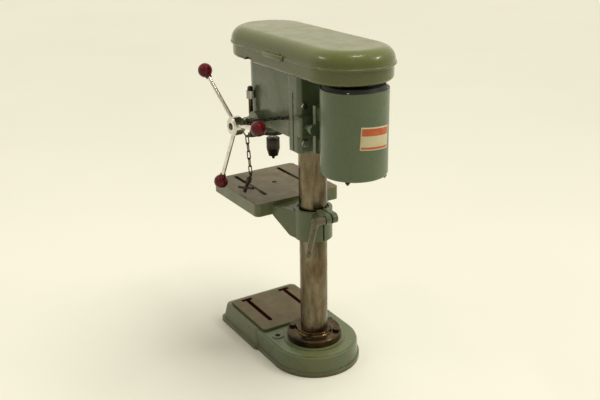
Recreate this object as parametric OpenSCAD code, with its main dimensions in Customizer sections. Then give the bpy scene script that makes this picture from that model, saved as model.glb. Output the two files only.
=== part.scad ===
// Benchtop drill press: cast base, column, sliding table, head with rack feed,
// stepped pulleys under a hinged cover, and a motor on slide bars.
// The origin is midway between the two bench bolts, on the bench. Front is -Y, feed hub is +X.

/* [Base] */
// Column axis behind the line of the bench bolts
column_y = 50; // [44:1:56]
// Height of the base deck
base_h = 54; // [48:1:62]
// Width of the front block of the base
base_w = 250; // [240:1:262]
// Column axis to the front edge of the base
base_front = 307; // [296:1:320]
// Length of the front block of the base
block_l = 216; // [208:1:224]
// Diameter of the round rear end of the base
base_rear_d = 235; // [228:1:242]
// Draft of the base walls over their height
base_draft = 9; // [5:1:11]
// Wall of the base casting
base_wall = 9; // [7:0.5:11]
// Thickness of the deck over the front block
deck_t = 16; // [12:1:20]
// Thickness of the deck under the column
rear_deck_t = 24; // [20:1:28]
// Height of the foot lip round the base
lip_h = 11; // [8:1:14]
// Reach of the foot lip
lip_out = 3; // [2:0.5:4]
// Width of the machined pad
pad_w = 204; // [190:1:208]
// Length of the machined pad
pad_l = 189; // [180:1:192]
// Column axis to the rear edge of the pad
pad_back = 86; // [84:1:90]
// Rise of the pad over the deck
pad_rise = 6; // [4:0.5:8]
// Width of the channel round the pad
channel_w = 4; // [3:0.5:5]
// Distance between the two slots of the base
base_slot_pitch = 120; // [110:1:130]
// Width of a base slot
base_slot_w = 12; // [10:0.5:14]
// Length of a base slot
base_slot_l = 140; // [120:1:150]
// Width of the slot's entry bar
base_slot_head = 32; // [26:1:36]
// Column axis to the middle of the entry bars
base_slot_front = 262; // [258:1:264]
// Distance between the bench bolts
bench_bolt_pitch = 164; // [156:1:172]
// Diameter of a bench bolt hole
bench_hole_d = 14; // [11:0.5:16]
// Diameter of the bosses round the bench bolts
bench_boss_d = 30; // [26:1:32]

/* [Column] */
// Outside diameter of the column tube
column_d = 70; // [66:0.5:72]
// Wall of the column tube
column_wall = 6; // [4:0.5:8]
// Diameter of the column flange
flange_d = 142; // [138:1:147]
// Thickness of the column flange
flange_h = 19; // [15:1:22]
// Wall of the neck over the flange
neck_wall = 10; // [8:0.5:11]
// Height of the neck over the flange
neck_h = 8; // [5:1:10]
// Pitch circle of the flange bolts
flange_pcd = 116; // [114:1:118]
// Diameter of the flange bolts
flange_bolt_d = 10; // [8:0.5:10]

/* [Table] */
// Height of the table top over the bench
table_top_z = 425; // [420:1:425]
// Width of the table
table_w = 245; // [235:1:255]
// Column axis to the front edge of the table
table_front = 305; // [295:1:315]
// Column axis to the rear edge of the table
table_back = 67; // [62:1:72]
// Thickness of the table plate
table_t = 13; // [10:1:16]
// Depth of the table edge
table_edge = 33; // [28:1:36]
// Wall of the table edge
table_wall = 10; // [8:0.5:12]
// Corner radius of the table
table_corner = 13; // [12:0.5:18]
// Distance between the table slots
table_slot_pitch = 132; // [124:1:140]
// Width of a table slot
table_slot_w = 11; // [9:0.5:13]
// Length of a table slot
table_slot_l = 171; // [150:1:180]
// Diameter of the hole under the drill
table_hole_d = 14; // [11:0.5:18]
// Outside diameter of the table clamp barrel
barrel_d = 96; // [92:1:100]
// Height of the table clamp barrel
barrel_h = 78; // [72:1:84]
// Table top down to the top of the barrel
barrel_drop = 6; // [4:0.5:8]
// Width of the clamp slit
slit_w = 4; // [3:0.5:5]
// Diameter of the table clamp bolt
clamp_bolt_d = 14; // [12:0.5:16]
// Length of the clamp lever arm
clamp_arm = 100; // [90:1:110]

/* [Head] */
// Column axis to the spindle axis
throat = 192; // [190:1:194]
// Height of the top face of the head
head_top_z = 768; // [766:1:770]
// Height of the underside of the head
head_bottom_z = 606; // [604:1:608]
// Width of the feed housing and the column boss
housing_w = 124; // [120:1:128]
// Width of the ledge beside the upper body of the head
ledge_w = 11; // [10:0.5:13]
// Height of the lower end of the column boss
boss_bottom_z = 575; // [570:1:580]
// Radius of the feed boss on the side
feed_boss_r = 28; // [26:0.5:29]
// Reach of the feed boss past the housing
feed_boss_out = 10; // [8:1:12]
// Diameter of the quill snout
snout_d = 76; // [72:1:80]

/* [Quill and feed] */
// Diameter of the quill
quill_d = 45; // [44:0.5:46]
// Diameter of the spindle
spindle_d = 17; // [16:0.5:17]
// Travel of the quill
quill_travel = 48; // [40:1:50]
// Module of the rack and pinion
rack_module = 2; // [2:0.05:2.1]
// Teeth of the pinion
pinion_teeth = 12; // [12:1:13]
// Height of the feed axis
feed_z = 606.6; // [604:0.2:609]
// Diameter of the feed shaft
feed_shaft_d = 18; // [16:0.5:18]
// Diameter of the feed hub
hub_d = 48; // [44:1:52]
// Length of the feed hub
hub_l = 32; // [30:1:36]
// Reach of the hub's outer end from the middle of the machine
hub_end_x = 137; // [134:1:140]
// Spoke root to ball centre
spoke_l = 166; // [156:1:170]
// Diameter of a spoke
spoke_d = 10; // [9:0.5:11]
// Outward lean of the spokes
spoke_lean = 8.5; // [6:0.5:10]
// Turn of the first spoke above the front
spoke_turn = 48; // [46:1:50]
// Diameter of a ball knob
ball_d = 36; // [32:1:38]

/* [Depth stop] */
// Stop rod beside the spindle axis
stop_x = 61.5; // [61:0.5:64]
// Diameter of the stop rod
stop_rod_d = 11; // [10:0.5:12]
// Diameter of the knurled depth nut
depth_nut_d = 19.5; // [17:0.5:20]
// Height of the depth nut
depth_nut_h = 20; // [16:1:22]
// Height of the lock nut
lock_nut_h = 11; // [9:1:13]

/* [Chuck] */
// Diameter of the chuck sleeve
chuck_d = 35; // [34:0.5:37]
// Tip of the closed jaws over the bench
jaw_tip_z = 491; // [490:0.5:492]
// Slant of the jaws
jaw_slant = 17; // [16:0.5:18]
// Diameter of a jaw
jaw_d = 6.3; // [5.8:0.1:6.4]
// Travel of the jaws along their slant
jaw_travel = 11; // [8:0.5:11]

/* [Belt drive] */
// Column axis to the motor axis
motor_reach = 173; // [171:1:176]
// Pitch radius of the largest pulley step
step_r = 61; // [59:0.5:62]
// Fall of the pitch radius from step to step
step_fall = 9; // [8:0.5:9]
// Height of one pulley step
step_h = 13; // [12.8:0.1:13.2]
// Width of the belt
belt_w = 10; // [9.8:0.1:10.2]
// Depth of the belt
belt_t = 6; // [5.5:0.5:6.5]

/* [Belt cover] */
// Radius of the round ends of the pan
pan_r = 98; // [96:0.5:99]
// Depth of the pan
pan_h = 38; // [36:1:40]
// Height of the lid
lid_h = 40; // [39:0.5:42]
// Rounding of the lid's top edge
lid_round = 32; // [26:1:33]
// Rounding of the pan's lower edge
pan_round = 8; // [6:0.5:9]
// Sheet of pan and lid
sheet_t = 2.5; // [2:0.25:3]
// Column axis to the centre of the front round end
cover_front = 181; // [179:1:183]
// Column axis to the centre of the rear round end
cover_rear = 151; // [148:1:154]

/* [Motor] */
// Diameter of the motor shell
motor_d = 152; // [146:1:154]
// Length of the motor shell
motor_l = 196; // [188:1:200]
// Motor shell up to the underside of the pan
motor_gap = 16; // [15:0.5:18]
// Sheet of the motor shell
motor_sheet = 3; // [2.5:0.25:3.5]
// Diameter of the motor shaft
motor_shaft_d = 16; // [14:0.5:17]
// Travel of the motor along its slide bars
motor_travel = 20; // [15:1:22]
// Diameter of a slide bar
slide_bar_d = 16; // [14:0.5:17]
// Distance between the slide bars
slide_bar_pitch = 94; // [92:1:95]

/* [Chain and key] */
// Wire of the chain
chain_wire = 3; // [2.6:0.1:3]
// Inner length of a chain link
link_inner = 20.5; // [20:0.1:21]
// Links that hang from the ring
hanging_links = 5; // [4:1:5]
// Links that lie on the head before the bend
laid_links = 4; // [3:1:4]
// Diameter of the key's shaft
key_d = 9; // [8:0.5:10]

/* [Hidden] */
$fn = 64;
run_gap = 0.05;      // running clearance on a radius
seat_gap = 0.02;     // clearance of a seated piece on a radius
air = 0.5;           // clearance between pieces that pass each other
past = 1;            // how far a cut runs past a face

cast_green = [0.33, 0.42, 0.33];
head_green = [0.27, 0.36, 0.31];
cover_green = [0.42, 0.47, 0.30];
bare_iron = [0.36, 0.31, 0.25];
dark_steel = [0.17, 0.15, 0.13];
bright_steel = [0.75, 0.74, 0.70];
maroon = [0.27, 0.04, 0.06];
black = [0.08, 0.08, 0.08];
copper = [0.62, 0.36, 0.20];
bronze = [0.64, 0.52, 0.30];

// Stand
seat_rise = 3;
plateau_inset = 8;
edge_round = 5;
edge_steps = [for (a = [0, 45, 90]) edge_round * [1 - cos(a), 1 - sin(a)]];
plateau_rise = 2;
rear_z = base_h - plateau_rise;
waist_l = base_front - block_l + 40;
flange_z = base_h + seat_rise;
flange_top_z = flange_z + flange_h;
column_r = column_d / 2;
column_top_z = head_top_z - 20;
block_y = -base_front + block_l / 2;
pad_y = -pad_back - pad_l / 2;

// Table
table_y = -(table_front + table_back) / 2;
table_len = table_front - table_back;
table_low_z = table_top_z - table_edge;
barrel_top_z = table_top_z - barrel_drop;
barrel_low_z = barrel_top_z - barrel_h;
arm_half = 76;
lug_t = 14;
lug_r = 13;
lug_y = barrel_d / 2 + 27;
lug_z = barrel_top_z - 8;

// Head
spindle_y = column_y - throat;
pitch_r = rack_module * pinion_teeth / 2;
rack_addendum = 0.65 * rack_module;
pinion_addendum = 0.8 * rack_module;
tooth_floor = 0.2 * rack_module;
feed_y = spindle_y + quill_d / 2 - rack_addendum + pitch_r;
head_w = housing_w - 2 * ledge_w;
boss_front_y = column_y - 12;
boss_back_y = column_y + 42;
head_slit_y = column_y + 16;
band_front_y = head_slit_y + slit_w;
band_back_y = column_y + 54;
band_out = 3;
band_h = 48;
ledge_rear_z = head_bottom_z + 42.4;
ledge_front_z = head_bottom_z + 0.4;
snout_z = head_bottom_z - 34;
head_bolt_x = 48;
head_bolt_d = 10;
head_bolt_heights = [head_top_z - 80, boss_bottom_z + 25];
feed_bore_r = pitch_r + pinion_addendum + 1.4;

// Quill, spindle and sleeve
quill_low_z = snout_z - 12;
quill_top_z = head_top_z - 62;
quill_bearing_r = 17.5;
quill_bearing_h = 10;
spline_d = spindle_d - 2;
sleeve_d = 25;
sleeve_bearing_r = 26;
sleeve_bearing_h = 15;
sleeve_low_z = head_top_z - 38;
collar_h = 9;
collar_r = quill_d / 2 + 8;
spindle_flange_h = 5;
nose_z = quill_low_z - air - spindle_flange_h;

// Depth stop
lug_low_z = head_bottom_z - 6;
lug_h = 12;
stop_lug_r = stop_rod_d / 2 + 6.5;
depth_nut_z = lug_low_z + lug_h + quill_travel + air;
lock_nut_z = depth_nut_z + depth_nut_h + air / 2;

// Chuck
chuck_top_z = nose_z - 8;
chuck_body_r = chuck_d / 2 - 2.1;
chuck_nose_z = jaw_tip_z + 8;
chuck_shoulder_z = chuck_nose_z + 19;
chuck_nose_r = 10.8;
jaw_l = 30;

// Drive
pulley_z = head_top_z + 10;
pulley_h = 4 * step_h;
spline_top_z = pulley_z + pulley_h + 2;
motor_y = column_y + motor_reach;
axis_gap = motor_y - spindle_y;
belt_level = 1;
spindle_step = step_r - belt_level * step_fall;
motor_step = step_r - (3 - belt_level) * step_fall;
groove_half = belt_w / 2 + 0.35;
groove_slope = tan(19);
belt_out = 3;
belt_z = pulley_z + (belt_level + 0.5) * step_h;
belt_tilt = asin((spindle_step - motor_step) / axis_gap);

// Cover
lid_z = head_top_z + pan_h - 6;
lid_r = pan_r + 0.5 + sheet_t;
bead_r = 3.2;
notch_y = spindle_y + 64;
notch_h = 11;
notch_half = 28;
notch_r = (notch_half * notch_half + notch_h * notch_h) / (2 * notch_h);
hinge_x = -(lid_r + 8.5);
hinge_z = lid_z - 3;
hinge_pitch = 180;
hinge_pin_d = 4;
knuckle_r = 4;
knuckle_l = 14;
knuckle_gap = 0.5;
tab_l = 66;
tab_drop = 10;

// Motor
motor_top_z = head_top_z - motor_gap;
motor_low_z = motor_top_z - motor_l;
motor_r = motor_d / 2;
stator_r = motor_r - motor_sheet - 0.3;
rotor_r = 44;
core_low_z = motor_low_z + 45;
core_h = 100;
motor_bearing_r = 20;
motor_bearing_h = 12;
plate_t = 11;
plate_gap = 10;
plate_w = 92;
plate_h = 112;
ear_wall = 5;
pad_half = 40;
motor_bolt_rise = plate_h / 2 - 20;
plate_y = motor_y - motor_r - plate_gap - plate_t;
plate_z = motor_low_z + 85;
slide_bar_z = head_bottom_z + 35;
slide_bar_wall = 5;  // left before the end of a slide bar's hole
slide_bar_end = 3;   // room at that end when the motor is forward
slide_bar_front = boss_front_y + slide_bar_wall + slide_bar_end + motor_travel;

// Feed handles
hub_low_x = hub_end_x - hub_l;
neck_r = 13;
root_x = hub_end_x - 15;
spoke_root = 15;
collar_in_ball = 12;

// Chain: the joints lie a little inside the link ends so that the wire never touches
wire_r = chain_wire / 2;
link_half = 2.5 * wire_r;
link_straight = link_inner - 2 * link_half + chain_wire;
chain_pitch = link_inner - 0.4;
ring_r = 24;
hook_turn = 48.5;
ring_wire = 1.6;
hook_gap = 0.3;
ring_x = housing_w / 2 + 31;
ring_z = feed_z + neck_r + 0.3 + ring_wire - ring_r;
link_over = wire_r + 0.2;
hang_start = [ring_x, feed_y, ring_z - ring_r + ring_wire];
hang_lean = 3.7;
ledge_slope = atan((ledge_rear_z - ledge_front_z) / (boss_front_y + 8 - feed_y));
laid_roll = -40;
laid_yaw = 45;
laid_end = [ring_x, feed_y + ring_r * cos(hook_turn), ring_z + ring_r * sin(hook_turn)];
key_tip = [ring_x + 20, feed_y + 12, table_top_z + 8];
key_bar_l = 62;
key_bar_turn = 20;

module at_column(z = 0) translate([0, column_y, z]) children();
module at_spindle(z = 0) translate([0, spindle_y, z]) children();
module at_motor(z = 0) translate([0, motor_y, z]) children();
// Local Z runs along +X from the feed axis
module at_feed(x = 0) translate([x, feed_y, feed_z]) rotate([0, 90, 0]) children();
// Local Z runs from point a towards point b
module along(a, b) {
  v = b - a;
  translate(a) rotate([0, acos(v.z / norm(v)), atan2(v.y, v.x)]) children();
}
// An outline drawn in (y, z) and extruded along X, centred on x
module side_profile(w, x = 0) translate([x - w / 2, 0, 0]) rotate([90, 0, 90]) linear_extrude(w)
  children();

module rounded_rect(w, l, r) {
  square([w, l - 2 * r], center = true);
  square([w - 2 * r, l], center = true);
  for (sx = [-1, 1], sy = [-1, 1]) translate([sx * (w / 2 - r), sy * (l / 2 - r)]) circle(r);
}
module ring(r_out, r_in, h) difference() {
  cylinder(r = r_out, h = h);
  translate([0, 0, -past]) cylinder(r = r_in, h = h + 2 * past);
}
// Head up, shank down, seat at z = 0
module hex_bolt(d, shank) {
  cylinder(d = 1.75 * d, h = 0.62 * d, $fn = 6);
  translate([0, 0, -shank]) cylinder(d = d - 2 * seat_gap, h = shank);
}
// Inner and outer race with balls between them
module ball_bearing(r_out, r_in, h) {
  race = (r_out - r_in) / 4;
  mid = (r_out + r_in) / 2;
  ring(r_out, r_out - race, h);
  ring(r_in + race, r_in, h);
  translate([0, 0, h / 2]) for (a = [0:45:315]) rotate(a) translate([mid, 0, 0]) sphere(race - 0.03);
}

// Base

module base_block(inset, low, high, steps) {
  taper = inset + base_draft;
  hull() {
    translate([0, block_y, low]) linear_extrude(0.01)
      rounded_rect(base_w - 2 * inset, block_l - 2 * inset, 18, $fn = 32);
    for (e = steps) translate([0, block_y, high - e.y - 0.01]) linear_extrude(0.01)
      rounded_rect(base_w - 2 * (taper + e.x), block_l - 2 * (taper + e.x), 16, $fn = 32);
  }
}
module base_slot() {
  translate([-base_slot_w / 2, -base_slot_front]) square([base_slot_w, base_slot_l - base_slot_w / 2]);
  translate([0, base_slot_l - base_slot_w / 2 - base_slot_front]) circle(d = base_slot_w);
  translate([-base_slot_head / 2, -base_slot_front - base_slot_w / 2])
    square([base_slot_head, base_slot_w]);
}
// Half section of the rear wall, from the middle out
module rear_section(r) polygon(concat([[0, 0], [r, 0]],
  [for (e = edge_steps) [r - base_draft / 3 - e.x, rear_z - e.y]], [[0, rear_z]]));
// Plan of the round end and the waist that joins it to the front block
module rear_plan(r) {
  circle(r);
  translate([-r, -waist_l]) square([2 * r, waist_l]);
}
module base_casting() color(cast_green) at_column() difference() {
  rear_r = base_rear_d / 2;
  wall_r = rear_r - lip_out;
  union() {
    base_block(lip_out, 0, base_h, edge_steps);
    rotate_extrude() rear_section(wall_r);
    rotate([90, 0, 0]) linear_extrude(waist_l) {
      rear_section(wall_r);
      mirror([1, 0]) rear_section(wall_r);
    }
    linear_extrude(base_h) rear_plan(wall_r - plateau_inset);
    linear_extrude(lip_h) {
      translate([0, block_y]) rounded_rect(base_w, block_l, 20);
      rear_plan(rear_r);
    }
    cylinder(d = flange_d + 18, h = base_h + seat_rise);
    translate([0, pad_y, base_h - past]) linear_extrude(pad_rise + past) rounded_rect(pad_w, pad_l, 12);
    for (s = [-1, 1]) translate([s * bench_bolt_pitch / 2, -column_y, 0])
      cylinder(d = bench_boss_d, h = base_h + 2);
  }
  difference() {
    union() {
      base_block(lip_out + base_wall, -past, base_h - deck_t, [[0, 0]]);
      translate([0, 0, -past]) linear_extrude(base_h - rear_deck_t + past) rear_plan(wall_r - base_wall);
    }
    for (s = [-1, 1]) translate([s * bench_bolt_pitch / 2, -column_y, -2 * past])
      cylinder(d = bench_boss_d, h = base_h);
  }
  translate([0, pad_y, base_h - 3]) linear_extrude(3 + past) difference() {
    rounded_rect(pad_w + 2 * channel_w, pad_l + 2 * channel_w, 12 + channel_w);
    rounded_rect(pad_w, pad_l, 12);
  }
  for (s = [-1, 1]) {
    translate([s * base_slot_pitch / 2, 0, base_h - deck_t - past])
      linear_extrude(deck_t + pad_rise + 2 * past) base_slot();
    translate([s * bench_bolt_pitch / 2, -column_y, -past])
      cylinder(d = bench_hole_d, h = base_h + 4 * past);
  }
  for (a = [45:90:315]) rotate(a) translate([flange_pcd / 2, 0, base_h - rear_deck_t + 4])
    cylinder(d = flange_bolt_d, h = rear_deck_t + seat_rise);
}

module column() color(bare_iron) at_column(flange_z)
  ring(column_r, column_r - column_wall, column_top_z - flange_z);

module column_flange() color(dark_steel) at_column(flange_z) difference() {
  neck_r_out = column_r + neck_wall;
  rotate_extrude() polygon([[column_r + seat_gap, 0], [flange_d / 2, 0], [flange_d / 2, flange_h - 3],
    [flange_d / 2 - 3, flange_h], [neck_r_out + 3, flange_h], [neck_r_out, flange_h + 3],
    [neck_r_out, flange_h + neck_h - 1], [neck_r_out - 1, flange_h + neck_h],
    [column_r + seat_gap, flange_h + neck_h]]);
  for (a = [45:90:315]) rotate(a) translate([flange_pcd / 2, 0, -past])
    cylinder(d = flange_bolt_d, h = flange_h + 2 * past);
}
module flange_bolts() color(dark_steel) at_column(flange_top_z)
  for (a = [45:90:315]) rotate(a) translate([flange_pcd / 2, 0, 0]) rotate(15)
    hex_bolt(flange_bolt_d, flange_h + rear_deck_t - 6);

// Table

module table_slot() {
  half = table_slot_l / 2 - table_slot_w / 2;
  square([table_slot_w, 2 * half], center = true);
  for (s = [-1, 1]) translate([0, s * half]) circle(d = table_slot_w);
}
// Plan of the arm from the middle of the table to the barrel
module arm_plan(inset) {
  half = arm_half - inset;
  end_half = barrel_d / 2 - 2 - inset;
  middle = table_y - (inset > 0 ? past : 0);
  polygon([[-half, middle], [-half, -table_back], [-end_half, 0],
    [end_half, 0], [half, -table_back], [half, middle]]);
}
module table_arm() difference() {
  under = table_top_z - table_t;
  wall = 9;
  intersection() {
    linear_extrude(table_top_z) arm_plan(0);
    side_profile(2 * arm_half) polygon([[table_y, table_low_z + 6], [-table_back - 4, table_low_z],
      [-22, barrel_low_z + 5], [0, barrel_low_z], [0, barrel_top_z - 5],
      [-table_back, under + 3], [table_y, under + 3]]);
  }
  intersection() {
    linear_extrude(table_top_z) arm_plan(wall);
    side_profile(2 * arm_half) polygon([[table_y - 2 * past, 0], [table_y - 2 * past, under],
      [-table_back - wall, under], [-table_back - wall, under - wall],
      [-52, under - wall - 3], [-52, 0]]);
  }
}
module table_lug(side) side_profile(lug_t, side * (slit_w + lug_t) / 2) {
  translate([lug_y, lug_z]) circle(lug_r);
  translate([column_r + 4, lug_z - lug_r]) square([lug_y - column_r - 4, 2 * lug_r]);
}
module table() color(cast_green) at_column() difference() {
  union() {
    difference() {
      translate([0, table_y, table_low_z]) linear_extrude(table_edge)
        rounded_rect(table_w, table_len, table_corner);
      translate([0, table_y, table_low_z - past]) linear_extrude(table_edge - table_t + past)
        rounded_rect(table_w - 2 * table_wall, table_len - 2 * table_wall, table_corner - table_wall / 2);
    }
    table_arm();
    translate([0, 0, barrel_low_z]) cylinder(d = barrel_d, h = barrel_h);
    for (s = [-1, 1]) table_lug(s);
  }
  translate([0, 0, barrel_low_z - past]) cylinder(r = column_r + run_gap, h = barrel_h + 20);
  translate([0, 0, barrel_top_z - 4]) cylinder(r = column_r + 5, h = 24);
  translate([-slit_w / 2, column_r - 4, barrel_low_z - past]) cube([slit_w, barrel_d, barrel_h + 20]);
  translate([0, lug_y, lug_z]) rotate([0, 90, 0]) cylinder(d = clamp_bolt_d, h = 80, center = true);
  for (s = [-1, 1]) translate([s * table_slot_pitch / 2, table_y - 18, table_low_z])
    linear_extrude(table_edge + past) table_slot();
  translate([0, -throat, table_low_z]) cylinder(d = table_hole_d, h = table_edge + past);
}
module table_clamp_bolt() color(dark_steel) at_column() translate([0, lug_y, lug_z]) rotate([0, 90, 0]) {
  outer = slit_w / 2 + lug_t;
  translate([0, 0, 2 - outer]) cylinder(d = clamp_bolt_d - 2 * seat_gap, h = 2 * outer + 14);
}
module table_clamp_lever() color(cast_green) at_column()
  translate([slit_w / 2 + lug_t + air, lug_y, lug_z]) difference() {
  hub = 24;
  lean = 16;
  union() {
    rotate([0, 90, 0]) cylinder(r = 10.5, h = hub);
    translate([hub, 0, 0]) sphere(10.5);
    hull() {
      translate([hub, 0, 0]) sphere(9, $fn = 24);
      translate([hub + 4, -clamp_arm * sin(lean), -clamp_arm * cos(lean)]) sphere(6.5, $fn = 24);
    }
  }
  translate([-past, 0, 0]) rotate([0, 90, 0]) cylinder(d = clamp_bolt_d + 2 * run_gap, h = 17 + past);
}

// Head

module head_body() {
  translate([0, 0, head_bottom_z]) linear_extrude(head_top_z - head_bottom_z) {
    translate([0, spindle_y]) circle(d = head_w);
    translate([-head_w / 2, spindle_y]) square([head_w, throat]);
  }
  translate([0, (boss_front_y + boss_back_y) / 2, boss_bottom_z])
    linear_extrude(head_top_z - boss_bottom_z)
    rounded_rect(housing_w, boss_back_y - boss_front_y, 12);
  translate([0, (band_front_y + band_back_y) / 2, slide_bar_z - band_h / 2]) linear_extrude(band_h)
    rounded_rect(housing_w + 2 * band_out, band_back_y - band_front_y, 6);
  side_profile(housing_w) polygon([[feed_y, ledge_front_z], [boss_front_y + 8, ledge_rear_z],
    [boss_front_y + 8, head_bottom_z], [feed_y, head_bottom_z]]);
  at_feed(-housing_w / 2 - feed_boss_out) cylinder(r = feed_boss_r + 6, h = feed_boss_out);
  at_feed(-housing_w / 2) cylinder(r = feed_boss_r, h = housing_w + feed_boss_out);
  at_spindle(snout_z) cylinder(d = snout_d, h = head_bottom_z - snout_z + past);
  translate([0, spindle_y, lug_low_z]) linear_extrude(lug_h) {
    translate([stop_x, 0]) circle(stop_lug_r);
    translate([0, -stop_lug_r]) square([stop_x, 2 * stop_lug_r]);
  }
}
module head_casting() color(head_green) difference() {
  head_body();
  at_spindle(snout_z - past) cylinder(r = quill_d / 2 + run_gap, h = quill_top_z + 16 - snout_z);
  at_spindle(quill_top_z) cylinder(d = sleeve_d + 4, h = head_top_z - quill_top_z);
  at_spindle(sleeve_low_z) cylinder(r = sleeve_bearing_r + seat_gap,
    h = head_top_z - sleeve_low_z + past);
  at_feed(-housing_w) cylinder(r = feed_bore_r, h = 2 * housing_w);
  at_column(boss_bottom_z - past)
    cylinder(r = column_r + run_gap, h = column_top_z - boss_bottom_z + past);
  translate([0, (spindle_y + boss_front_y) / 2 + 18, ledge_rear_z + 10]) linear_extrude(head_top_z)
    rounded_rect(head_w - 18, throat - 108, 10);
  translate([stop_x, spindle_y, lug_low_z - past]) cylinder(d = stop_rod_d + 1, h = lug_h + 2 * past);
  translate([stop_x, spindle_y, lug_low_z + lug_h])
    cylinder(r = depth_nut_d / 2 + 0.8 * air, h = quill_travel);
  translate([column_r - 5, head_slit_y - slit_w / 2, boss_bottom_z - past])
    cube([housing_w / 2, slit_w, head_top_z - 52 - boss_bottom_z + past]);
  for (z = head_bolt_heights) translate([head_bolt_x, boss_back_y - 52, z]) rotate([-90, 0, 0])
    cylinder(d = head_bolt_d, h = 60);
  for (s = [-1, 1]) translate([s * slide_bar_pitch / 2, boss_front_y + slide_bar_wall, slide_bar_z])
    rotate([-90, 0, 0]) cylinder(r = slide_bar_d / 2 + run_gap, h = 120);
  for (p = pan_screw_places) translate([p.x, p.y, head_top_z - 14]) cylinder(d = 6, h = 20);
  translate([anchor_back.x, boss_front_y - past, anchor_back.z]) rotate([-90, 0, 0])
    cylinder(r = anchor_r, h = 13 + past);
}
pan_screw_places = [[-40, boss_front_y + 4], [40, boss_front_y + 4],
  [-38, spindle_y + 40], [38, spindle_y + 40]];

module head_clamp_bolts() color(dark_steel)
  for (z = head_bolt_heights) translate([head_bolt_x, boss_back_y, z]) rotate([-90, 0, 0])
    hex_bolt(head_bolt_d, 50);

module feed_bushings() color(bronze) for (s = [-1, 1])
  at_feed(s > 0 ? 20 : -housing_w / 2 - feed_boss_out)
    ring(feed_bore_r - seat_gap, feed_shaft_d / 2 + run_gap, housing_w / 2 + feed_boss_out - 20);

// Cup over the flat spiral spring that lifts the quill
cap_r = feed_boss_r + 5;
cap_l = 24;
module spring_cap() color(head_green) at_feed(-housing_w / 2 - feed_boss_out - cap_l) difference() {
  union() {
    cylinder(r1 = cap_r - 2, r2 = cap_r, h = 3);
    translate([0, 0, 3]) cylinder(r = cap_r, h = cap_l - 3);
  }
  translate([0, 0, 3]) cylinder(r = cap_r - 3, h = cap_l);
  for (a = [0:60:300]) rotate(a) translate([cap_r, 0, cap_l - 5]) cylinder(r = 2.2, h = 6);
}
spring_turns = 5;
spring_in = feed_shaft_d / 2 + 0.3;
spring_out = cap_r - 3 - 0.4;
spring_t = 0.8;
function spiral_r(a) = spring_in + (spring_out - spring_t - spring_in) * a / (360 * spring_turns);
module return_spring() color(dark_steel) at_feed(-housing_w / 2 - feed_boss_out - cap_l + 6)
  linear_extrude(12) {
  path = [for (a = [0:10:360 * spring_turns]) a];
  inner = [for (a = path) spiral_r(a) * [cos(a), sin(a)]];
  outer = [for (i = [len(path) - 1:-1:0]) (spiral_r(path[i]) + spring_t) * [cos(path[i]), sin(path[i])]];
  polygon(concat(inner, outer));
}

// Rack, quill and spindle

tooth_pitch = PI * rack_module;
base_circle = pitch_r * cos(20);
function inv(a) = tan(a) * 180 / PI - a;
function flank(r) = 90 / pinion_teeth - 0.9 + inv(20) - inv(acos(min(1, base_circle / r)));
module pinion_outline() {
  root = pitch_r - rack_addendum - tooth_floor;
  tip = pitch_r + pinion_addendum;
  radii = [base_circle, (base_circle + pitch_r) / 2, pitch_r, (pitch_r + tip) / 2, tip];
  circle(root);
  for (k = [0:pinion_teeth - 1]) rotate(90 + k * 360 / pinion_teeth) polygon(concat(
    [(root - 1) * [cos(flank(base_circle)), -sin(flank(base_circle))]],
    [for (r = radii) r * [cos(flank(r)), -sin(flank(r))]],
    [for (i = [len(radii) - 1:-1:0]) radii[i] * [cos(flank(radii[i])), sin(flank(radii[i]))]],
    [(root - 1) * [cos(flank(base_circle)), sin(flank(base_circle))]]));
}
module rack_slot() {
  depth = rack_addendum + pinion_addendum + tooth_floor;
  mid = tooth_pitch / 4;
  floor_half = mid - (pinion_addendum + tooth_floor) * tan(20);
  top_half = mid + (rack_addendum + past) * tan(20);
  side_profile(quill_d) polygon([[quill_d / 2 - depth, -floor_half], [quill_d / 2 + past, -top_half],
    [quill_d / 2 + past, top_half], [quill_d / 2 - depth, floor_half]]);
}
module quill() color(bright_steel) difference() {
  length = quill_top_z - quill_low_z;
  at_spindle(quill_low_z) cylinder(d = quill_d, h = length);
  at_spindle(quill_low_z - past) cylinder(d = spindle_d + 6, h = length + 2 * past);
  for (z = [quill_low_z - past, quill_top_z - quill_bearing_h])
    at_spindle(z) cylinder(r = quill_bearing_r + seat_gap, h = quill_bearing_h + past);
  for (k = [-2:ceil(quill_travel / tooth_pitch) + 2]) at_spindle(feed_z + k * tooth_pitch) rack_slot();
}
module quill_bearings() color(bright_steel) for (z = [quill_low_z, quill_top_z - quill_bearing_h])
  at_spindle(z) ball_bearing(quill_bearing_r, spindle_d / 2 + run_gap, quill_bearing_h);

module spline_grooves(w, depth) for (a = [0:60:300]) rotate(a)
  translate([spline_d / 2 - depth, -w / 2]) square([depth + past, w]);
module spindle() color(bright_steel) {
  at_spindle(nose_z - 30) cylinder(r1 = 6.8, r2 = 7.6, h = 30);
  at_spindle(nose_z) cylinder(r = 12, h = spindle_flange_h);
  at_spindle(nose_z) cylinder(d = spindle_d, h = quill_top_z + 2 - nose_z);
  at_spindle(quill_top_z + 2) linear_extrude(spline_top_z - quill_top_z - 2) difference() {
    circle(d = spline_d);
    spline_grooves(3, 1.8);
  }
}
module pulley_sleeve() color(bright_steel) at_spindle(sleeve_low_z)
  linear_extrude(spline_top_z - sleeve_low_z) {
  difference() {
    circle(d = sleeve_d);
    circle(d = spline_d + 2 * run_gap);
  }
  for (a = [0:60:300]) rotate(a) translate([spline_d / 2 - 1.4, -1.3]) square([2.4, 2.6]);
}
module sleeve_bearings() color(bright_steel) for (k = [0, 1])
  at_spindle(sleeve_low_z + k * (sleeve_bearing_h + 5))
    ball_bearing(sleeve_bearing_r, sleeve_d / 2 + run_gap, sleeve_bearing_h);

// Depth stop

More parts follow.
